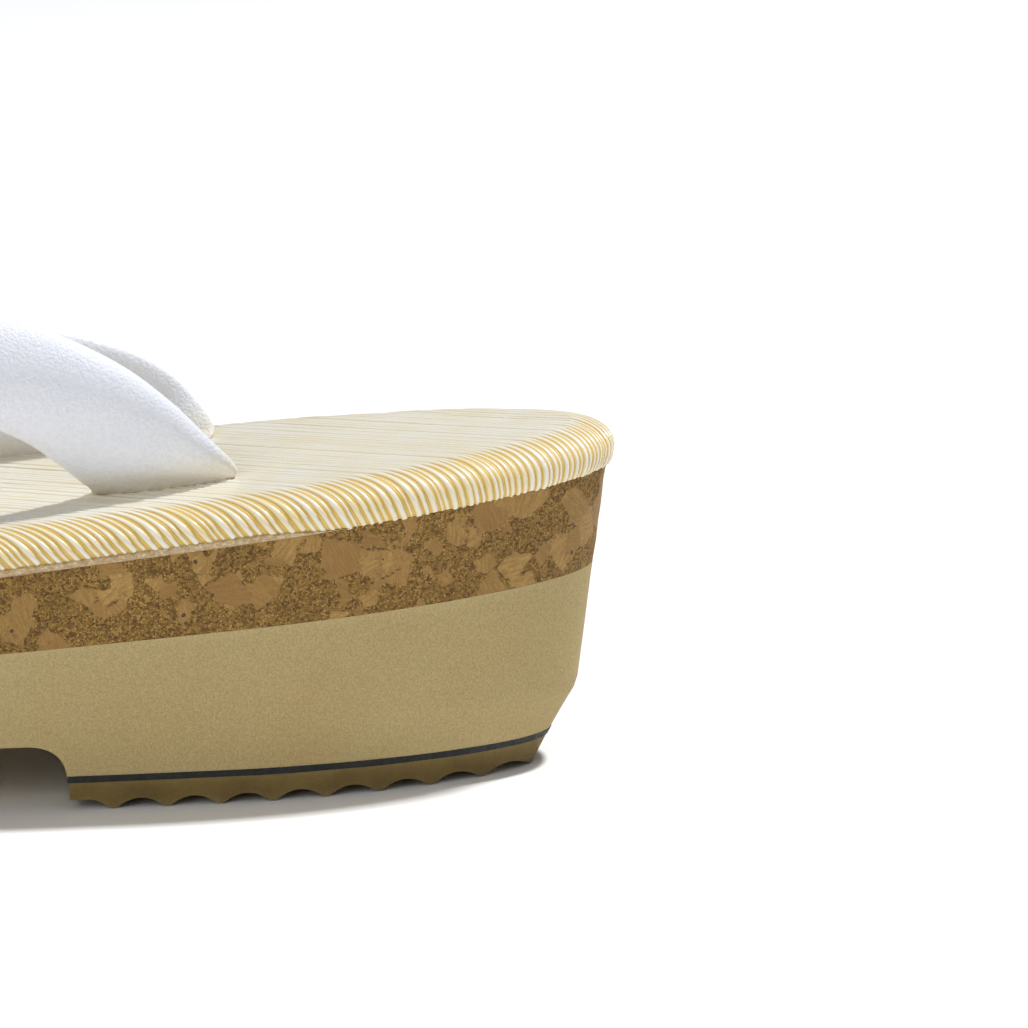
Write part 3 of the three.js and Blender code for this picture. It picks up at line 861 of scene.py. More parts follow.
# %% Material of the cork
def cork_material():
    made, tree, shader, where = new_material("pressed_cork", Roughness=0.85)
    bend = noise(tree, where, 260.0, 3.0)
    centred = vector_math(tree, "SUBTRACT", bend["Color"], (0.5, 0.5, 0.5))
    chip_place = vector_math(tree, "ADD", where, scaled(tree, centred, 0.0035))
    grain_place = vector_math(tree, "ADD", where, scaled(tree, centred, 0.0011))

    def cells(size, place):
        """Distance from the middle of its cell, distance to its edge, and random numbers."""
        inputs = {"Vector": place, "Scale": 1 / (size * MM)}
        whole = add(tree, "ShaderNodeTexVoronoi", inputs, feature="F1").outputs
        edge = add(tree, "ShaderNodeTexVoronoi", inputs, feature="DISTANCE_TO_EDGE").outputs
        luck = add(tree, "ShaderNodeSeparateColor", {0: whole["Color"]}).outputs
        return whole["Distance"], edge["Distance"], luck

    def chips(size, share):
        """Mask of the chips of one size, the distance to their edge, and random numbers."""
        _, gap, luck = cells(size, chip_place)
        return math_node(tree, "GREATER_THAN", luck[0], 1 - share), gap, luck

    large, large_gap, large_luck = chips(4.9, 0.26)
    small, small_gap, small_luck = chips(2.7, 0.26)
    _, grain_gap, grain_luck = cells(0.34, grain_place)

    # Granules: dark gaps, and a shade for each granule.
    granule = mix_colour(tree, grain_luck[0], colour(124, 94, 50), colour(180, 145, 88))
    dark_granule = span(tree, grain_luck[1], 0.74, 0.92)
    granule = mix_colour(tree, dark_granule, granule, colour(104, 77, 44))
    inside = span(tree, grain_gap, 0.0, 0.08, 0.6, 1.0)
    granule = mix_colour(tree, inside, colour(98, 71, 38), granule)

    # Chips: a shade for each chip, faint growth lines that turn from chip to chip, and dark pores.
    pore_distance, _, pore_luck = cells(3.1, grain_place)
    is_pore = math_node(tree, "LESS_THAN", pore_distance, 0.12)
    chosen = math_node(tree, "GREATER_THAN", pore_luck[0], 0.72)
    is_pore = math_node(tree, "MULTIPLY", is_pore, chosen)

    def chip_colour(gap, luck):
        inputs = {"Vector": grain_place, "Angle": math_node(tree, "MULTIPLY", luck[1], 3.0)}
        turned = add(tree, "ShaderNodeVectorRotate", inputs, rotation_type="X_AXIS").outputs[0]
        lines_at = add(tree, "ShaderNodeMapping", {"Vector": turned, "Scale": (500, 350, 3200)})
        lines = noise(tree, lines_at.outputs[0], 1.0, 3.0)["Fac"]
        shade = mix_colour(tree, luck[1], colour(154, 120, 68), colour(182, 148, 92))
        for value, low, high, amount, darker in (
            (luck[2], 0.6, 1.0, 0.6, colour(150, 110, 66)),
            (lines, 0.35, 0.65, 0.55, colour(126, 94, 52)),
            (grain_luck[1], 0.3, 1.0, 0.35, colour(122, 92, 52)),
        ):
            shade = mix_colour(tree, span(tree, value, low, high, 0.0, amount), shade, darker)
        ragged = math_node(tree, "ADD", gap, math_node(tree, "MULTIPLY", grain_luck[0], 0.05))
        rimmed = mix_colour(tree, span(tree, ragged, 0.0, 0.09, 0.55, 0.0), shade, granule)
        return mix_colour(tree, is_pore, rimmed, colour(84, 62, 44))

    body = mix_colour(tree, small, granule, chip_colour(small_gap, small_luck))
    body = mix_colour(tree, large, body, chip_colour(large_gap, large_luck))
    tone = clouded(tree, where, (0.95, 0.9, 0.66, 1), (1.12, 1.08, 0.84, 1), 0.018)
    chip = math_node(tree, "MAXIMUM", large, small)
    toned = mix_colour(tree, 1.0, body, tone, "MULTIPLY")
    dress(tree, shader, toned, span(tree, chip, 0, 1, 0.92, 0.7))
    height = math_node(tree, "MAXIMUM", chip, span(tree, grain_gap, 0.0, 0.16))
    bump(tree, shader, math_node(tree, "SUBTRACT", height, is_pore), 0.00016, 0.8)
    return made


# %% [markdown]
# The cork's wall is sanded flush by hand, so it isn't perfectly even. A sum of sine waves
# moves each point of the wall by less than a tenth of a millimetre.


# %% Cork layer
GLUE_LINE = 0.06


def uneven(points, size, depth):
    """A small smooth displacement for each point, from a sum of sines that share no period."""
    x, y, z = (points / size).T
    waves = np.sin(x * 1.9 + 3.1 * np.sin(y * 0.7) + z * 2.3)
    waves = waves + np.sin(y * 2.7 + 2.2 * np.sin(z * 1.3 + x * 0.9))
    return waves / 2 * depth


def wall_stack(station, bottom, top, rows, roughness, size, skirt=0.0):
    """A stack that follows the wall of the sole between two height arrays."""
    levels = []
    for share in np.linspace(0, 1, rows):
        height = bottom + (top - bottom) * share
        inset = wall_inset(station, height)
        x, y, _, _ = outline(station)
        inset = inset + uneven(np.stack([x, y, height], axis=1), size, roughness)
        levels.append((inset + skirt, height))
    return stacked(station, levels)


cork_stations = spaced_stations(1.0)
cork_bottom = layer("cork_bottom", cork_stations)
cork_top = layer("cover_bottom", cork_stations) - GLUE_LINE
cork = mesh_object("cork", *wall_stack(cork_stations, cork_bottom, cork_top, 15, 0.07, 2.5))
soften(cork, 0.1)
finish_piece(cork, cork_material(), "cork", "cork_layer")

# %% [markdown]
# ## The foam wedge
#
# The wedge is one block of foam, cut through from side to side to leave the arch. In side
# view its underside is a line: flat under the heel, up a tight curve into the arch, and down
# again. The stations of that line are added to the ring's own, so the curve stays crisp.

# %% Underside of the wedge
TREAD_TOP, SHEET_TOP, ARCH_HEIGHT = 4.5, 5.35, 10.4
HEEL_FRONT, FOREFOOT_BACK = 85.5, 127.0
FACE_LEAN, FILLET = 0.7, 5.8


def quadratic(a, b, c, steps):
    t = np.linspace(0, 1, steps)[:, None]
    return (1 - t) ** 2 * np.array(a) + 2 * t * (1 - t) * np.array(b) + t**2 * np.array(c)


def arch_face(front, towards_gap):
    """The curve from the foot of a block's face up to the roof of the arch."""
    foot = (front, SHEET_TOP)
    corner = (front + 0.6 * towards_gap, ARCH_HEIGHT - 0.4)
    roof = (front + FILLET * towards_gap, ARCH_HEIGHT)
    return quadratic(foot, corner, roof, 12)


def arch_line():
    up = arch_face(HEEL_FRONT + FACE_LEAN, 1)
    down = arch_face(FOREFOOT_BACK - FACE_LEAN, -1)[::-1]
    return np.concatenate([[(0, SHEET_TOP)], up, down, [(LENGTH, SHEET_TOP)]])


def with_line(step, line, start=0.0, end=LENGTH):
    """Evenly spaced stations together with those of a side-view line, and the line's heights."""
    inside = line[(line[:, 0] > start) & (line[:, 0] < end), 0]
    station = np.unique(np.round(np.concatenate([spaced_stations(step, start, end), inside]), 4))
    keep = np.concatenate([[True], np.diff(station) > 0.02])
    station = station[keep]
    station[-1] = end
    return station, np.interp(station, line[:, 0], line[:, 1])


# %% [markdown]
# The foam has closed cells about half a millimetre wide that are cut open on the wall. They
# show as a fine even grain, a little lighter and darker from spot to spot.


# %% Material of the foam, and the wedge
def foam_material():
    made, tree, shader, where = new_material("foam", Roughness=0.85)
    cells = use_group(tree, PEBBLES, Vector=where, Size=0.0005, Softness=0.3)
    base = clouded(tree, where, colour(181, 163, 117), colour(176, 152, 102), 0.03, 0.9)
    fine = clouded(tree, where, (0.84, 0.84, 0.82, 1), (1.12, 1.12, 1.1, 1), 0.0003, 1.7)
    grained = mix_colour(tree, 1.0, base, fine, "MULTIPLY")
    # Darker specks towards the floor, up to 16 mm up the wall.
    low_specks = use_group(tree, FLOOR_SPECKS, Vector=where, Reach=0.016, Amount=0.25)
    grained = mix_colour(tree, low_specks["Mask"], grained, colour(140, 118, 78))
    # Lighter on convex edges.
    pale_edges = use_group(tree, CONVEX_EDGES, Vector=where, Amount=0.6)
    grained = mix_colour(tree, pale_edges["Mask"], grained, colour(206, 186, 140))
    dress(tree, shader, grained, span(tree, cells["Height"], 0.5, 1.2, 0.95, 0.78))
    bump(tree, shader, cells["Height"], 0.00008, 0.6)
    return made


FOAM = foam_material()
wedge_stations, wedge_bottom = with_line(1.3, arch_line())
wedge_top = layer("cork_bottom", wedge_stations) - GLUE_LINE * 0.4
wedge = mesh_object("foam_wedge", *wall_stack(wedge_stations, wedge_bottom, wedge_top, 18, 0.05, 7))
soften(wedge, 0.15)
finish_piece(wedge, FOAM, "sponge", "sponge_midsole")

# %% [markdown]
# ## Bonding sheets and treads
#
# A thin dark sheet is glued between the wedge and each tread. A tread is cut from softer
# foam rubber with scallops across it: between narrow flats that stand on the floor, each
# scallop is a shallow arc. The side-view line of the teeth is made by a loop, and the tread
# follows it, in the same way as the wedge follows the arch.

# %% Side-view line of the teeth
TOOTH_PITCH, TOOTH_FLAT, TOOTH_DEPTH = 8.25, 0.6, 1.6
FIRST_HEEL_TOOTH, FIRST_FOREFOOT_TOOTH = 13.4, 134.3
HEEL_TEETH = [FIRST_HEEL_TOOTH + i * TOOTH_PITCH for i in range(9)]
FOREFOOT_TEETH = [FIRST_FOREFOOT_TOOTH + i * TOOTH_PITCH for i in range(11)]
LEDGE = 3.2  # plain ledge between the last tooth and the face of a block


def tooth_line(teeth, start_ledge, end_ledge):
    """Height of the tread's underside along the sole."""
    half = TOOTH_FLAT / 2
    line = [(station, TOOTH_DEPTH) for station in start_ledge] + [(teeth[0] - half, 0)]
    for here, after in zip(teeth, teeth[1:]):
        middle = ((here + after) / 2, TOOTH_DEPTH * 2)
        line += [tuple(p) for p in quadratic((here + half, 0), middle, (after - half, 0), 9)]
    line.append((teeth[-1] + half, 0))
    return np.array(line + [(station, TOOTH_DEPTH) for station in end_ledge])


def face_at(front, lean, height):
    return front + lean * height / SHEET_TOP


HEEL_LEDGES = (0, HEEL_TEETH[0] - LEDGE), (HEEL_FRONT - LEDGE, HEEL_FRONT)
FOREFOOT_LEDGES = (FOREFOOT_BACK, FOREFOOT_BACK + LEDGE), (FOREFOOT_TEETH[-1] + LEDGE, LENGTH)
HEEL_LINE = tooth_line(HEEL_TEETH, *HEEL_LEDGES)
FOREFOOT_LINE = tooth_line(FOREFOOT_TEETH, *FOREFOOT_LEDGES)
print("teeth", len(HEEL_TEETH), "and", len(FOREFOOT_TEETH))


# %% Treads and sheets
def tread_object(name, line, start, end):
    """A tread whose underside follows the teeth where the leaning wall really is."""
    station, _ = with_line(1.2, line, start, end)
    _, y, _, out_y = outline(station)
    bottom = np.zeros_like(station)
    for _ in range(5):
        real = LENGTH / 2 - (y - out_y * wall_inset(station, bottom))
        bottom = np.interp(real, line[:, 0], line[:, 1])
    top = np.full_like(bottom, TREAD_TOP)
    return mesh_object(name, *wall_stack(station, bottom, top, 5, 0.05, 5))


GLUE_SQUEEZE, SHEET_PROUD = 0.1, 0.12  # the sheet's extra height each way, and how far it stands out


def sheet_object(name, start, end):
    station = spaced_stations(1.5, start, end)
    level = np.ones_like(station)
    low, high = level * (TREAD_TOP - GLUE_SQUEEZE), level * (SHEET_TOP + GLUE_SQUEEZE)
    return mesh_object(name, *wall_stack(station, low, high, 3, 0.08, 6, -SHEET_PROUD))


def tread_material():
    made, tree, shader, where = new_material("tread_rubber", Roughness=0.85)
    cells = use_group(tree, PEBBLES, Vector=where, Size=0.0007, Softness=0.4)
    base = clouded(tree, where, colour(120, 100, 52), colour(100, 80, 42), 0.008, 1.2)
    pale_edges = use_group(tree, CONVEX_EDGES, Vector=where, Amount=0.7)
    low_specks = use_group(tree, FLOOR_SPECKS, Vector=where, Reach=0.0016, Amount=0.35)
    paint = mix_colour(tree, pale_edges["Mask"], base, colour(150, 134, 84))
    paint = mix_colour(tree, low_specks["Mask"], paint, colour(150, 140, 110))
    dress(tree, shader, paint, span(tree, cells["Height"], 0.5, 1.2, 0.95, 0.75))
    bump(tree, shader, cells["Height"], 0.00012, 0.8)
    return made


def sheet_material():
    made, tree, shader, where = new_material("bonding_sheet", Roughness=0.6)
    cells = use_group(tree, PEBBLES, Vector=where, Size=0.0009, Softness=0.5)
    base = clouded(tree, where, colour(17, 21, 19), colour(29, 32, 28), 0.005, 1.4)
    dress(tree, shader, base, span(tree, cells["Height"], 0.5, 1.2, 0.75, 0.5))
    bump(tree, shader, cells["Height"], 0.0001, 0.6)
    return made


TREAD = tread_material()
SHEET = sheet_material()
TREAD_FACE, SHEET_FACE = 2.5, 5  # heights where the leaning face cuts the tread and the sheet


def block_ends(part, height):
    """The stations between which the heel or the forefoot block reaches at a height."""
    if part == "heel":
        return 0.0, face_at(HEEL_FRONT, FACE_LEAN, height)
    return face_at(FOREFOOT_BACK, -FACE_LEAN, height), LENGTH


for part, line in (("heel", HEEL_LINE), ("forefoot", FOREFOOT_LINE)):
    tread = tread_object(f"{part}_scalloped_tread", line, *block_ends(part, TREAD_FACE))
    finish_piece(soften(tread, 0.18), TREAD, "tread", f"{part}_tread")
    sheet = sheet_object(f"{part}_dark_sheet", *block_ends(part, SHEET_FACE))
    finish_piece(soften(sheet, 0.08), SHEET, "sheet", f"{part}_bonding_sheet")

# %% [markdown]
# ## The strap
#
# The upper of a zori is a leather tube stuffed with cotton: one band that runs from the tail
# of one arm, over the middle of the V, to the tail of the other. A cloth simulation could
# inflate such a tube. Here the band is lofted instead, which keeps its pinched ends where the
# table puts them, and its folds are placed one by one as soft troughs. One row of the table is
# one section: where its upper and its lower edge lie, and how full the stuffing is. The left
# arm is softer: it sags, so its lower edge stays in its pocket for longer before it rises.

# %% Sections of the strap
STRAP_COLUMNS = ("upper_x", "upper_at", "upper_rise", "lower_x", "lower_at", "lower_rise", "pad")
RIGHT_ARM = table_of(
    STRAP_COLUMNS,
    [
        (15.5, 63.5, -7.6, 14.5, 80.8, -7.6, 1.2),
        (14.5, 61.0, -0.6, 14.8, 82.2, -0.6, 1.8),
        (17.0, 59.8, 2.0, 17.2, 83.0, 1.9, 2.9),
        (20.6, 63.8, 7.4, 20.2, 85.2, 4.2, 3.4),
        (22.2, 70.2, 14.8, 22.6, 88.6, 7.7, 3.7),
        (22.6, 78.6, 22.0, 24.8, 93.4, 11.7, 3.9),
        (22.2, 90.6, 28.6, 26.6, 101.6, 16.1, 4.0),
        (21.0, 104.0, 32.0, 27.4, 111.8, 19.3, 4.0),
        (18.6, 119.0, 32.8, 26.4, 125.0, 20.6, 4.0),
        (14.8, 135.0, 31.2, 23.4, 139.5, 19.9, 4.0),
        (10.6, 151.0, 27.2, 18.4, 154.6, 17.2, 3.8),
        (6.6, 166.5, 21.8, 11.6, 169.6, 13.0, 3.4),
        (3.6, 179.0, 16.8, 6.0, 182.2, 8.8, 2.9),
        (0.0, 185.0, 14.2, 0.0, 189.4, 6.6, 2.5),
    ],
)
LEFT_ARM = table_of(
    STRAP_COLUMNS,
    [
        (20.5, 67.0, -7.6, 24.5, 83.0, -7.6, 1.2),
        (19.5, 64.5, -0.6, 24.5, 84.2, -4.8, 1.4),
        (22.0, 63.1, 1.8, 26.0, 87.6, -3.2, 2.5),
        (25.1, 66.2, 6.4, 26.0, 91.4, -2.0, 3.2),
        (25.7, 71.2, 11.6, 25.8, 95.6, -1.0, 3.6),
        (25.1, 78.6, 16.0, 26.0, 100.4, 0.7, 3.9),
        (23.7, 90.6, 20.4, 26.6, 106.6, 3.4, 4.0),
        (22.0, 104.0, 24.0, 27.9, 114.4, 7.8, 4.0),
        (19.1, 119.0, 25.6, 27.9, 125.8, 11.8, 4.0),
        (14.8, 135.0, 25.2, 24.6, 139.6, 13.6, 4.0),
        (10.6, 151.0, 22.8, 18.4, 154.6, 12.8, 3.8),
        (6.6, 166.5, 19.2, 11.6, 169.6, 10.4, 3.4),
        (3.6, 179.0, 15.8, 6.0, 182.2, 7.8, 2.9),
    ],
)
INNER_FULLNESS = 0.6  # the face against the foot is flatter than the outer face
SECTION_POWER = 0.92  # below 1, a section is a little squarer than an ellipse


def above_cover(x, station, rise):
    """A point at a rise above the cover."""
    return np.stack([x, LENGTH / 2 - station, layer("cover_top", station) + rise], axis=-1)


def strap_edge(edge):
    """One edge of the whole strap, from the right tail over the V to the left tail."""
    arms = []
    for rows, side in ((RIGHT_ARM, 1), (LEFT_ARM, -1)):
        arms.append(above_cover(side * rows[f"{edge}_x"], rows[f"{edge}_at"], rows[f"{edge}_rise"]))
    return np.concatenate([arms[0], arms[1][::-1]])


PADS = np.concatenate([RIGHT_ARM["pad"], LEFT_ARM["pad"][::-1]])
SECTION_KEYS = np.arange(len(PADS), dtype=float)
UPPER_EDGE, LOWER_EDGE = strap_edge("upper"), strap_edge("lower")
print("strap sections", len(SECTION_KEYS))

# %% [markdown]
# Each fold is one row: how far along the strap it is (0 and 26 are the tails, 13 the middle of
# the V), its place round the section in degrees (90 is the middle of the outer face, 0 the
# upper edge, 180 the lower), how long and how wide it is, how much it slants, and how deep.
# A negative depth is a ridge.

# %% Folds in the leather
FOLDS = table_of(
    ("at", "angle", "length", "width", "slant", "depth"),
    [
        (2.6, 95, 0.5, 26, 30, 0.35),
        (3.0, 150, 0.6, 20, 24, 0.30),
        (3.4, 60, 0.5, 18, -20, 0.22),
        (2.2, 40, 0.4, 22, 10, 0.30),
        (5.2, 20, 0.7, 14, 8, 0.20),
        (11.6, 90, 0.5, 22, 25, 0.35),
        (12.3, 50, 0.4, 20, -18, 0.32),
        (12.4, 140, 0.4, 22, 16, 0.34),
        (13.7, 50, 0.4, 20, 18, 0.32),
        (13.6, 140, 0.4, 22, -16, 0.34),
        (14.4, 90, 0.5, 22, -25, 0.35),
        (22.8, 60, 0.5, 18, 20, 0.25),
        (23.2, 110, 0.6, 24, -30, 0.35),
        (23.8, 40, 0.4, 22, -10, 0.30),
    ],
)
SEAM_ANGLE = 268  # the seam runs along the middle of the inner face
SEAM_WIDTH, SEAM_DEPTH = 7, 0.55


def fold_depth(at, angle):
    """How far the leather is pulled in at each place along and round the strap."""
    depth = np.zeros(np.broadcast(at, angle).shape)
    for row in zip(*FOLDS.values()):
        place, centre, length, width, slant, deep = row
        off = (angle - centre - slant * (at - place) + 180) % 360 - 180
        depth = depth + deep * np.exp(-(((at - place) / length) ** 2) - (off / width) ** 2)
    seam = (angle - SEAM_ANGLE + 180) % 360 - 180
    return depth + SEAM_DEPTH * np.exp(-((seam / SEAM_WIDTH) ** 2))


# %% Loft of the padded strap
def strap_sections(steps):
    """Middle, across, outward, half span and pad at evenly spaced places of the strap."""
    at = np.linspace(0, SECTION_KEYS[-1], steps)
    upper = smooth_between(SECTION_KEYS, UPPER_EDGE, at)
    lower = smooth_between(SECTION_KEYS, LOWER_EDGE, at)
    middle = (upper + lower) / 2
    across = upper - lower
    span_length = np.linalg.norm(across, axis=1, keepdims=True)
    across = across / span_length
    along = np.gradient(middle, axis=0)
    along = along / np.linalg.norm(along, axis=1, keepdims=True)
    outward = np.cross(across, along)
    outward = outward / np.linalg.norm(outward, axis=1, keepdims=True)
    pad = smooth_between(SECTION_KEYS, PADS, at)
    return at, middle, across, outward, span_length[:, 0] / 2, pad


def strap_surface(steps, sides):
    """A ring of points round the strap at each step."""
    at, middle, across, outward, half_span, pad = strap_sections(steps)
    angle = np.linspace(0, 360, sides, endpoint=False)[None]
    cos, sin = np.cos(np.radians(angle)), np.sin(np.radians(angle))
    full = np.where(sin > 0, 1.0, INNER_FULLNESS)
    pulled = fold_depth(at[:, None], angle)
    wide = np.sign(cos) * np.abs(cos) ** SECTION_POWER
    wide = wide * (half_span[:, None] - pulled * np.abs(cos))
    thick = np.sign(sin) * np.abs(sin) ** SECTION_POWER
    thick = thick * (pad[:, None] * full - pulled * np.abs(sin))
    out = across[:, None] * wide[..., None] + outward[:, None] * thick[..., None]
    return middle[:, None] + out


STRAP_STEPS, STRAP_SIDES = 300, 60
strap_points = strap_surface(STRAP_STEPS, STRAP_SIDES)
strap_faces = wall_faces(STRAP_STEPS, STRAP_SIDES)
strap_faces.append(list(range(STRAP_SIDES)))
strap_faces.append([(STRAP_STEPS - 1) * STRAP_SIDES + i for i in range(STRAP_SIDES)])
print("strap points", strap_points.shape)

# %% [markdown]
# ## White leather
#
# The leather has a fine pebbled grain under a satin finish. The grain is bump, because each
# pebble is only half a millimetre wide, and it also dulls the gloss in the valleys.


# %% Material of the leather
def leather_material():
    made, tree, shader, where = new_material("white_leather", Roughness=0.52)
    shader.inputs["Specular IOR Level"].default_value = 0.3
    pebble = use_group(tree, PEBBLES, Vector=where, Size=0.0005, Softness=0.3)
    wrinkle = noise(tree, where, 1300.0, 2.0, 0.8)["Fac"]
    paint = clouded(tree, where, colour(237, 239, 246), colour(232, 235, 244), 0.02)

    # Close to the cover the leather is warmer, as if lit by the golden cloth.
    apart = add(tree, "ShaderNodeSeparateXYZ", {0: where}).outputs
    rear, front, foot = 60, 110, 80  # stations behind, before and at the strap's feet
    slope = (layer("cover_top", rear) - layer("cover_top", front)) / (front - rear)
    start = (layer("cover_top", foot) - slope * (LENGTH / 2 - foot)) * MM
    rise = math_node(tree, "SUBTRACT", apart["Z"], math_node(tree, "MULTIPLY_ADD", apart["Y"], slope, start))
    near_cover = span(tree, rise, -0.001, 0.006, 0.8, 0.0)
    # Painted shade: the valleys of the wrinkles are painted darker and bluer.
    painted_wrinkle_shade = span(tree, wrinkle, 0.36, 0.56, 0.3, 0.0)
    # Painted highlight: the convex edges are painted whiter.
    pale_edges = use_group(tree, CONVEX_EDGES, Vector=where, Amount=0.2)["Mask"]
    for mask, tint in (
        (near_cover, colour(240, 226, 186)),
        (painted_wrinkle_shade, colour(216, 219, 228)),
        (pale_edges, colour(250, 250, 250)),
    ):
        paint = mix_colour(tree, mask, paint, tint)
    dress(tree, shader, paint, span(tree, pebble["Height"], 0.5, 1.1, 0.62, 0.5))
    height = math_node(tree, "MULTIPLY_ADD", wrinkle, 0.5, pebble["Height"])
    bump(tree, shader, height, 0.00012, 0.85)
    return made


LEATHER = leather_material()
strap = mesh_object("padded_strap", strap_points.reshape(-1, 3), strap_faces)
finish_piece(strap, LEATHER, "strap", "strap_upper")

# %% [markdown]
# ## Toe post
#
# The toe post is a narrow padded band that loops over the middle of the V and goes down into
# the sole. Seen from the side it has a soft outline. The band is made by carrying that
# outline across the post and drawing it in towards each face, like a small pillow.

# %% Outline and loft of the toe post
POST_HALF, POST_STEPS = 4.2, 110
POST_ROWS = table_of(
    ("station", "rise"),
    [
        (184.6, -9.0),
        (184.4, 0.5),
        (183.4, 5.0),
        (181.2, 11.0),
        (181.8, 16.6),
        (185.0, 18.6),
        (188.6, 16.8),
        (191.8, 10.6),
        (193.2, 4.6),
        (191.8, 0.0),
        (191.2, -9.0),
    ],
)


def post_outline(steps):
    """The soft outline in side view, from the front slit over the V and down again."""
    keys = np.arange(len(POST_ROWS["rise"]), dtype=float)
    corners = above_cover(np.zeros(len(keys)), POST_ROWS["station"], POST_ROWS["rise"])
    return smooth_between(keys, corners, np.linspace(0, keys[-1], steps))


def post_loft(steps, layers):
    line = post_outline(steps)
    run = np.gradient(line, axis=0)
    run = run / np.linalg.norm(run, axis=1, keepdims=True)
    inward = np.cross(run, (1.0, 0.0, 0.0))
    if np.dot(inward[steps // 2], line.mean(axis=0) - line[steps // 2]) < 0:
        inward = -inward
    rows = []
    for share in np.linspace(-1, 1, layers):
        edge = 1 - (1 - abs(share) ** 3.2) ** (1 / 2.2)
        groove = 0.28 * math.exp(-((share / 0.1) ** 2))
        row = line + inward * (1.5 * edge + groove)
        row = row + np.array([POST_HALF * math.sin(share * math.pi / 2), 0, 0])
        rows.append(row)
    faces = wall_faces(layers, steps)
    faces.append(list(range(steps)))
    faces.append([(layers - 1) * steps + i for i in range(steps)])
    return np.concatenate(rows), faces


post = mesh_object("toe_post_loop", *post_loft(POST_STEPS, 31))
finish_piece(post, LEATHER, "strap", "toe_post")

# %% [markdown]
# ## Stitches, with Geometry Nodes
#
# The strap's leather is closed by a seam along its inner face. A second small tree sews it:
# it takes a line on the surface, spaces points along it, sets a stitch on each and turns the
# stitch along the line. The same tree sews the seam of the toe post.


# %% The tree that sews a seam
def stitch_tree():
    inputs = [
        ("Line", "Geometry", None),
        ("Stitch Pitch", "Float", 0.003),
        ("Stitch Length", "Float", 0.002),
        ("Thread", "Float", 0.0005),
        ("Material", "Material", None),
    ]
    outputs = [("Stitches", "Geometry")]
    tree, given, made = new_group("stitches_on_a_line", "GeometryNodeTree", inputs, outputs)
    seam = add(tree, "GeometryNodeMeshToCurve", {0: given["Line"]}).outputs[0]
    inputs = {0: seam, 3: given["Stitch Pitch"]}
    spaced = add(tree, "GeometryNodeResampleCurve", inputs, mode="LENGTH").outputs[0]
    thread = add(tree, "GeometryNodeMeshIcoSphere", {"Radius": 0.5, "Subdivisions": 2}).outputs[0]
    size = combined(tree, given["Thread"], given["Thread"], given["Stitch Length"])
    run = add(tree, "GeometryNodeInputTangent").outputs[0]
    turn = add(tree, "FunctionNodeAlignRotationToVector", {2: run}, axis="Z").outputs[0]
    inputs = {0: spaced, 2: thread, 5: turn, 6: size}
    sewn = add(tree, "GeometryNodeInstanceOnPoints", inputs).outputs[0]
    whole = add(tree, "GeometryNodeRealizeInstances", {0: sewn}).outputs[0]
    smooth = add(tree, "GeometryNodeSetShadeSmooth", {0: whole}).outputs[0]
    dressed = add(tree, "GeometryNodeSetMaterial", {0: smooth, 2: given["Material"]}).outputs[0]
    tree.links.new(dressed, made["Stitches"])
    return tree


def thread_material():
    made, tree, shader, where = new_material("seam_thread", Roughness=0.6)
    base = clouded(tree, where, colour(232, 226, 208), colour(206, 198, 176), 0.0012, 1.5)
    tree.links.new(base, shader.inputs["Base Color"])
    bump(tree, shader, noise(tree, where, 6000.0)["Fac"], 0.00005, 0.6)
    return made


STITCHES = stitch_tree()
THREAD = thread_material()


def sew(name, line):
    """Stitches along a line of points in millimetres."""
    mesh = bpy.data.meshes.new(name)
    mesh.from_pydata((line * MM).tolist(), [(i, i + 1) for i in range(len(line) - 1)], [])
    base = place_object(name + "_line", mesh)
    sizes = {"Stitch_Pitch": 3.2 * MM, "Stitch_Length": 2.3 * MM, "Thread": 0.55 * MM}
    return finish_piece(grow(name, base, STITCHES, Material=THREAD, **sizes), THREAD, "strap")


SEAM_MARGIN = 34  # sections at each tail that the seam leaves out
POST_SEAM = slice(60, 94)  # the front of the toe post's outline
seam_side = round(SEAM_ANGLE / 360 * STRAP_SIDES)
sew("strap_seam_stitches", strap_points[SEAM_MARGIN : STRAP_STEPS - SEAM_MARGIN, seam_side])
sew("toe_post_stitches", post_outline(POST_STEPS)[POST_SEAM] + np.array([0, -0.1, 0]))

# %% [markdown]
# ## Floor, light and camera
#
# The sandal stands on a plain pale floor. The key light is high on the heel side and behind,
# so the strap throws its shadow towards the viewer and the toe. A wide soft lamp in front and
# a pale sky fill it. The camera is a long lens: it looks at the heel half from the side, a
# little from above.


# %% Floor
def floor_material():
    made, tree, shader, where = new_material("pale_floor", Roughness=0.9)
    base = clouded(tree, where, colour(250, 250, 250), colour(247, 247, 248), 0.4)
    tree.links.new(base, shader.inputs["Base Color"])
    return made


FLOOR_HALF = 12.0
floor_mesh = bpy.data.meshes.new("floor")
corners = [(x * FLOOR_HALF, y * FLOOR_HALF, 0) for x, y in ((-1, -1), (1, -1), (1, 1), (-1, 1))]
floor_mesh.from_pydata(corners, [], [(0, 1, 2, 3)])
floor_mesh.materials.append(floor_material())
floor = place_object("floor", floor_mesh)


# %% Lights
LIT_POINT = Vector((0, 0.02, 0.03))  # the lamps look here, in metres


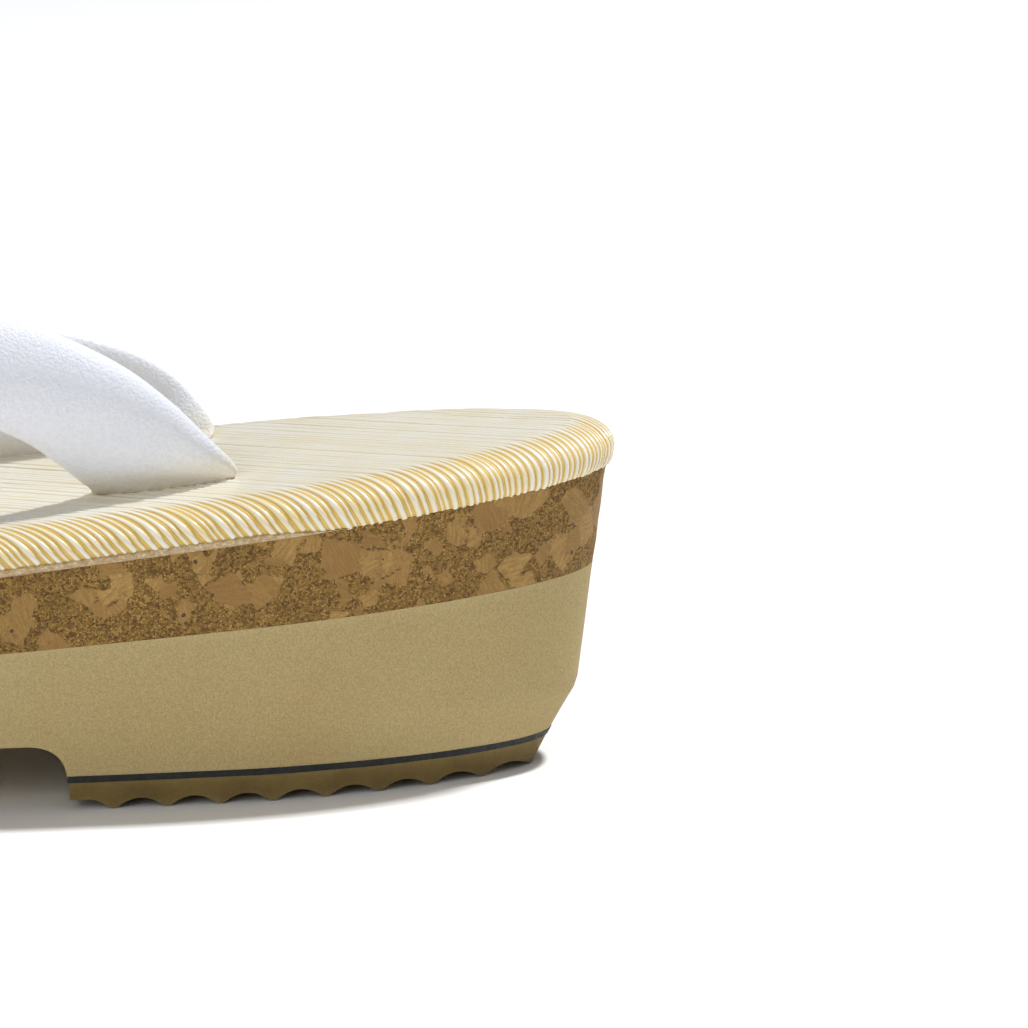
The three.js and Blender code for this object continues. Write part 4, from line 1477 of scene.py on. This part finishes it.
def direction(azimuth, elevation):
    """The direction from the sandal to a place round it. Azimuth 0 is at the toe, 90 at +X."""
    a, e = math.radians(azimuth), math.radians(elevation)
    return Vector((math.sin(a) * math.cos(e), -math.cos(a) * math.cos(e), math.sin(e)))


def area_light(name, azimuth, elevation, distance, size, power):
    """A square lamp that looks at the middle of the sandal from one direction."""
    lamp = bpy.data.lights.new(name, "AREA")
    lamp.size = size
    lamp.energy = power
    holder = place_object(name, lamp)
    away = direction(azimuth, elevation)
    holder.location = LIT_POINT + away * distance
    holder.rotation_mode = "QUATERNION"
    holder.rotation_quaternion = away.to_track_quat("Z", "Y")
    return holder


area_light("key", 208, 62, 2.2, 0.2, 46)
area_light("soft_front", 66, 20, 2.5, 1.4, 18)
world = bpy.data.worlds.new("pale_sky")
world.use_nodes = True
sky = world.node_tree.nodes["Background"].inputs
sky["Color"].default_value = (0.95, 0.97, 1.0, 1)
sky["Strength"].default_value = 0.27
bpy.context.scene.world = world
bpy.context.scene.view_settings.view_transform = "Standard"

# %% Camera
VIEW_AZIMUTH, VIEW_ELEVATION, VIEW_ROLL = 88.0, 10.76, -0.27
VIEW_DISTANCE = 1.5
VIEW_STATION, VIEW_HEIGHT = 15.98, 38.83  # the point looked at, on the middle plane
LENS = 332.5


def side_camera():
    """The scene's camera, turned a little about its own axis by the view's roll."""
    back = direction(VIEW_AZIMUTH, VIEW_ELEVATION)
    level = (-back).cross(Vector((0, 0, 1))).normalized()
    upright = level.cross(-back)
    roll = math.radians(VIEW_ROLL)
    right = level * math.cos(roll) + upright * math.sin(roll)
    up = upright * math.cos(roll) - level * math.sin(roll)
    target = Vector((0, LENGTH / 2 - VIEW_STATION, VIEW_HEIGHT)) * MM
    data = bpy.data.cameras.new("camera")
    data.lens = LENS
    data.sensor_width = 36.0
    data.clip_start = 0.1
    data.clip_end = 60.0
    holder = place_object("camera", data)
    turn = Matrix((right, up, back)).transposed()
    holder.matrix_world = Matrix.Translation(target + back * VIEW_DISTANCE) @ turn.to_4x4()
    bpy.context.scene.camera = holder
    return holder


print("camera at", side_camera().matrix_world.translation)
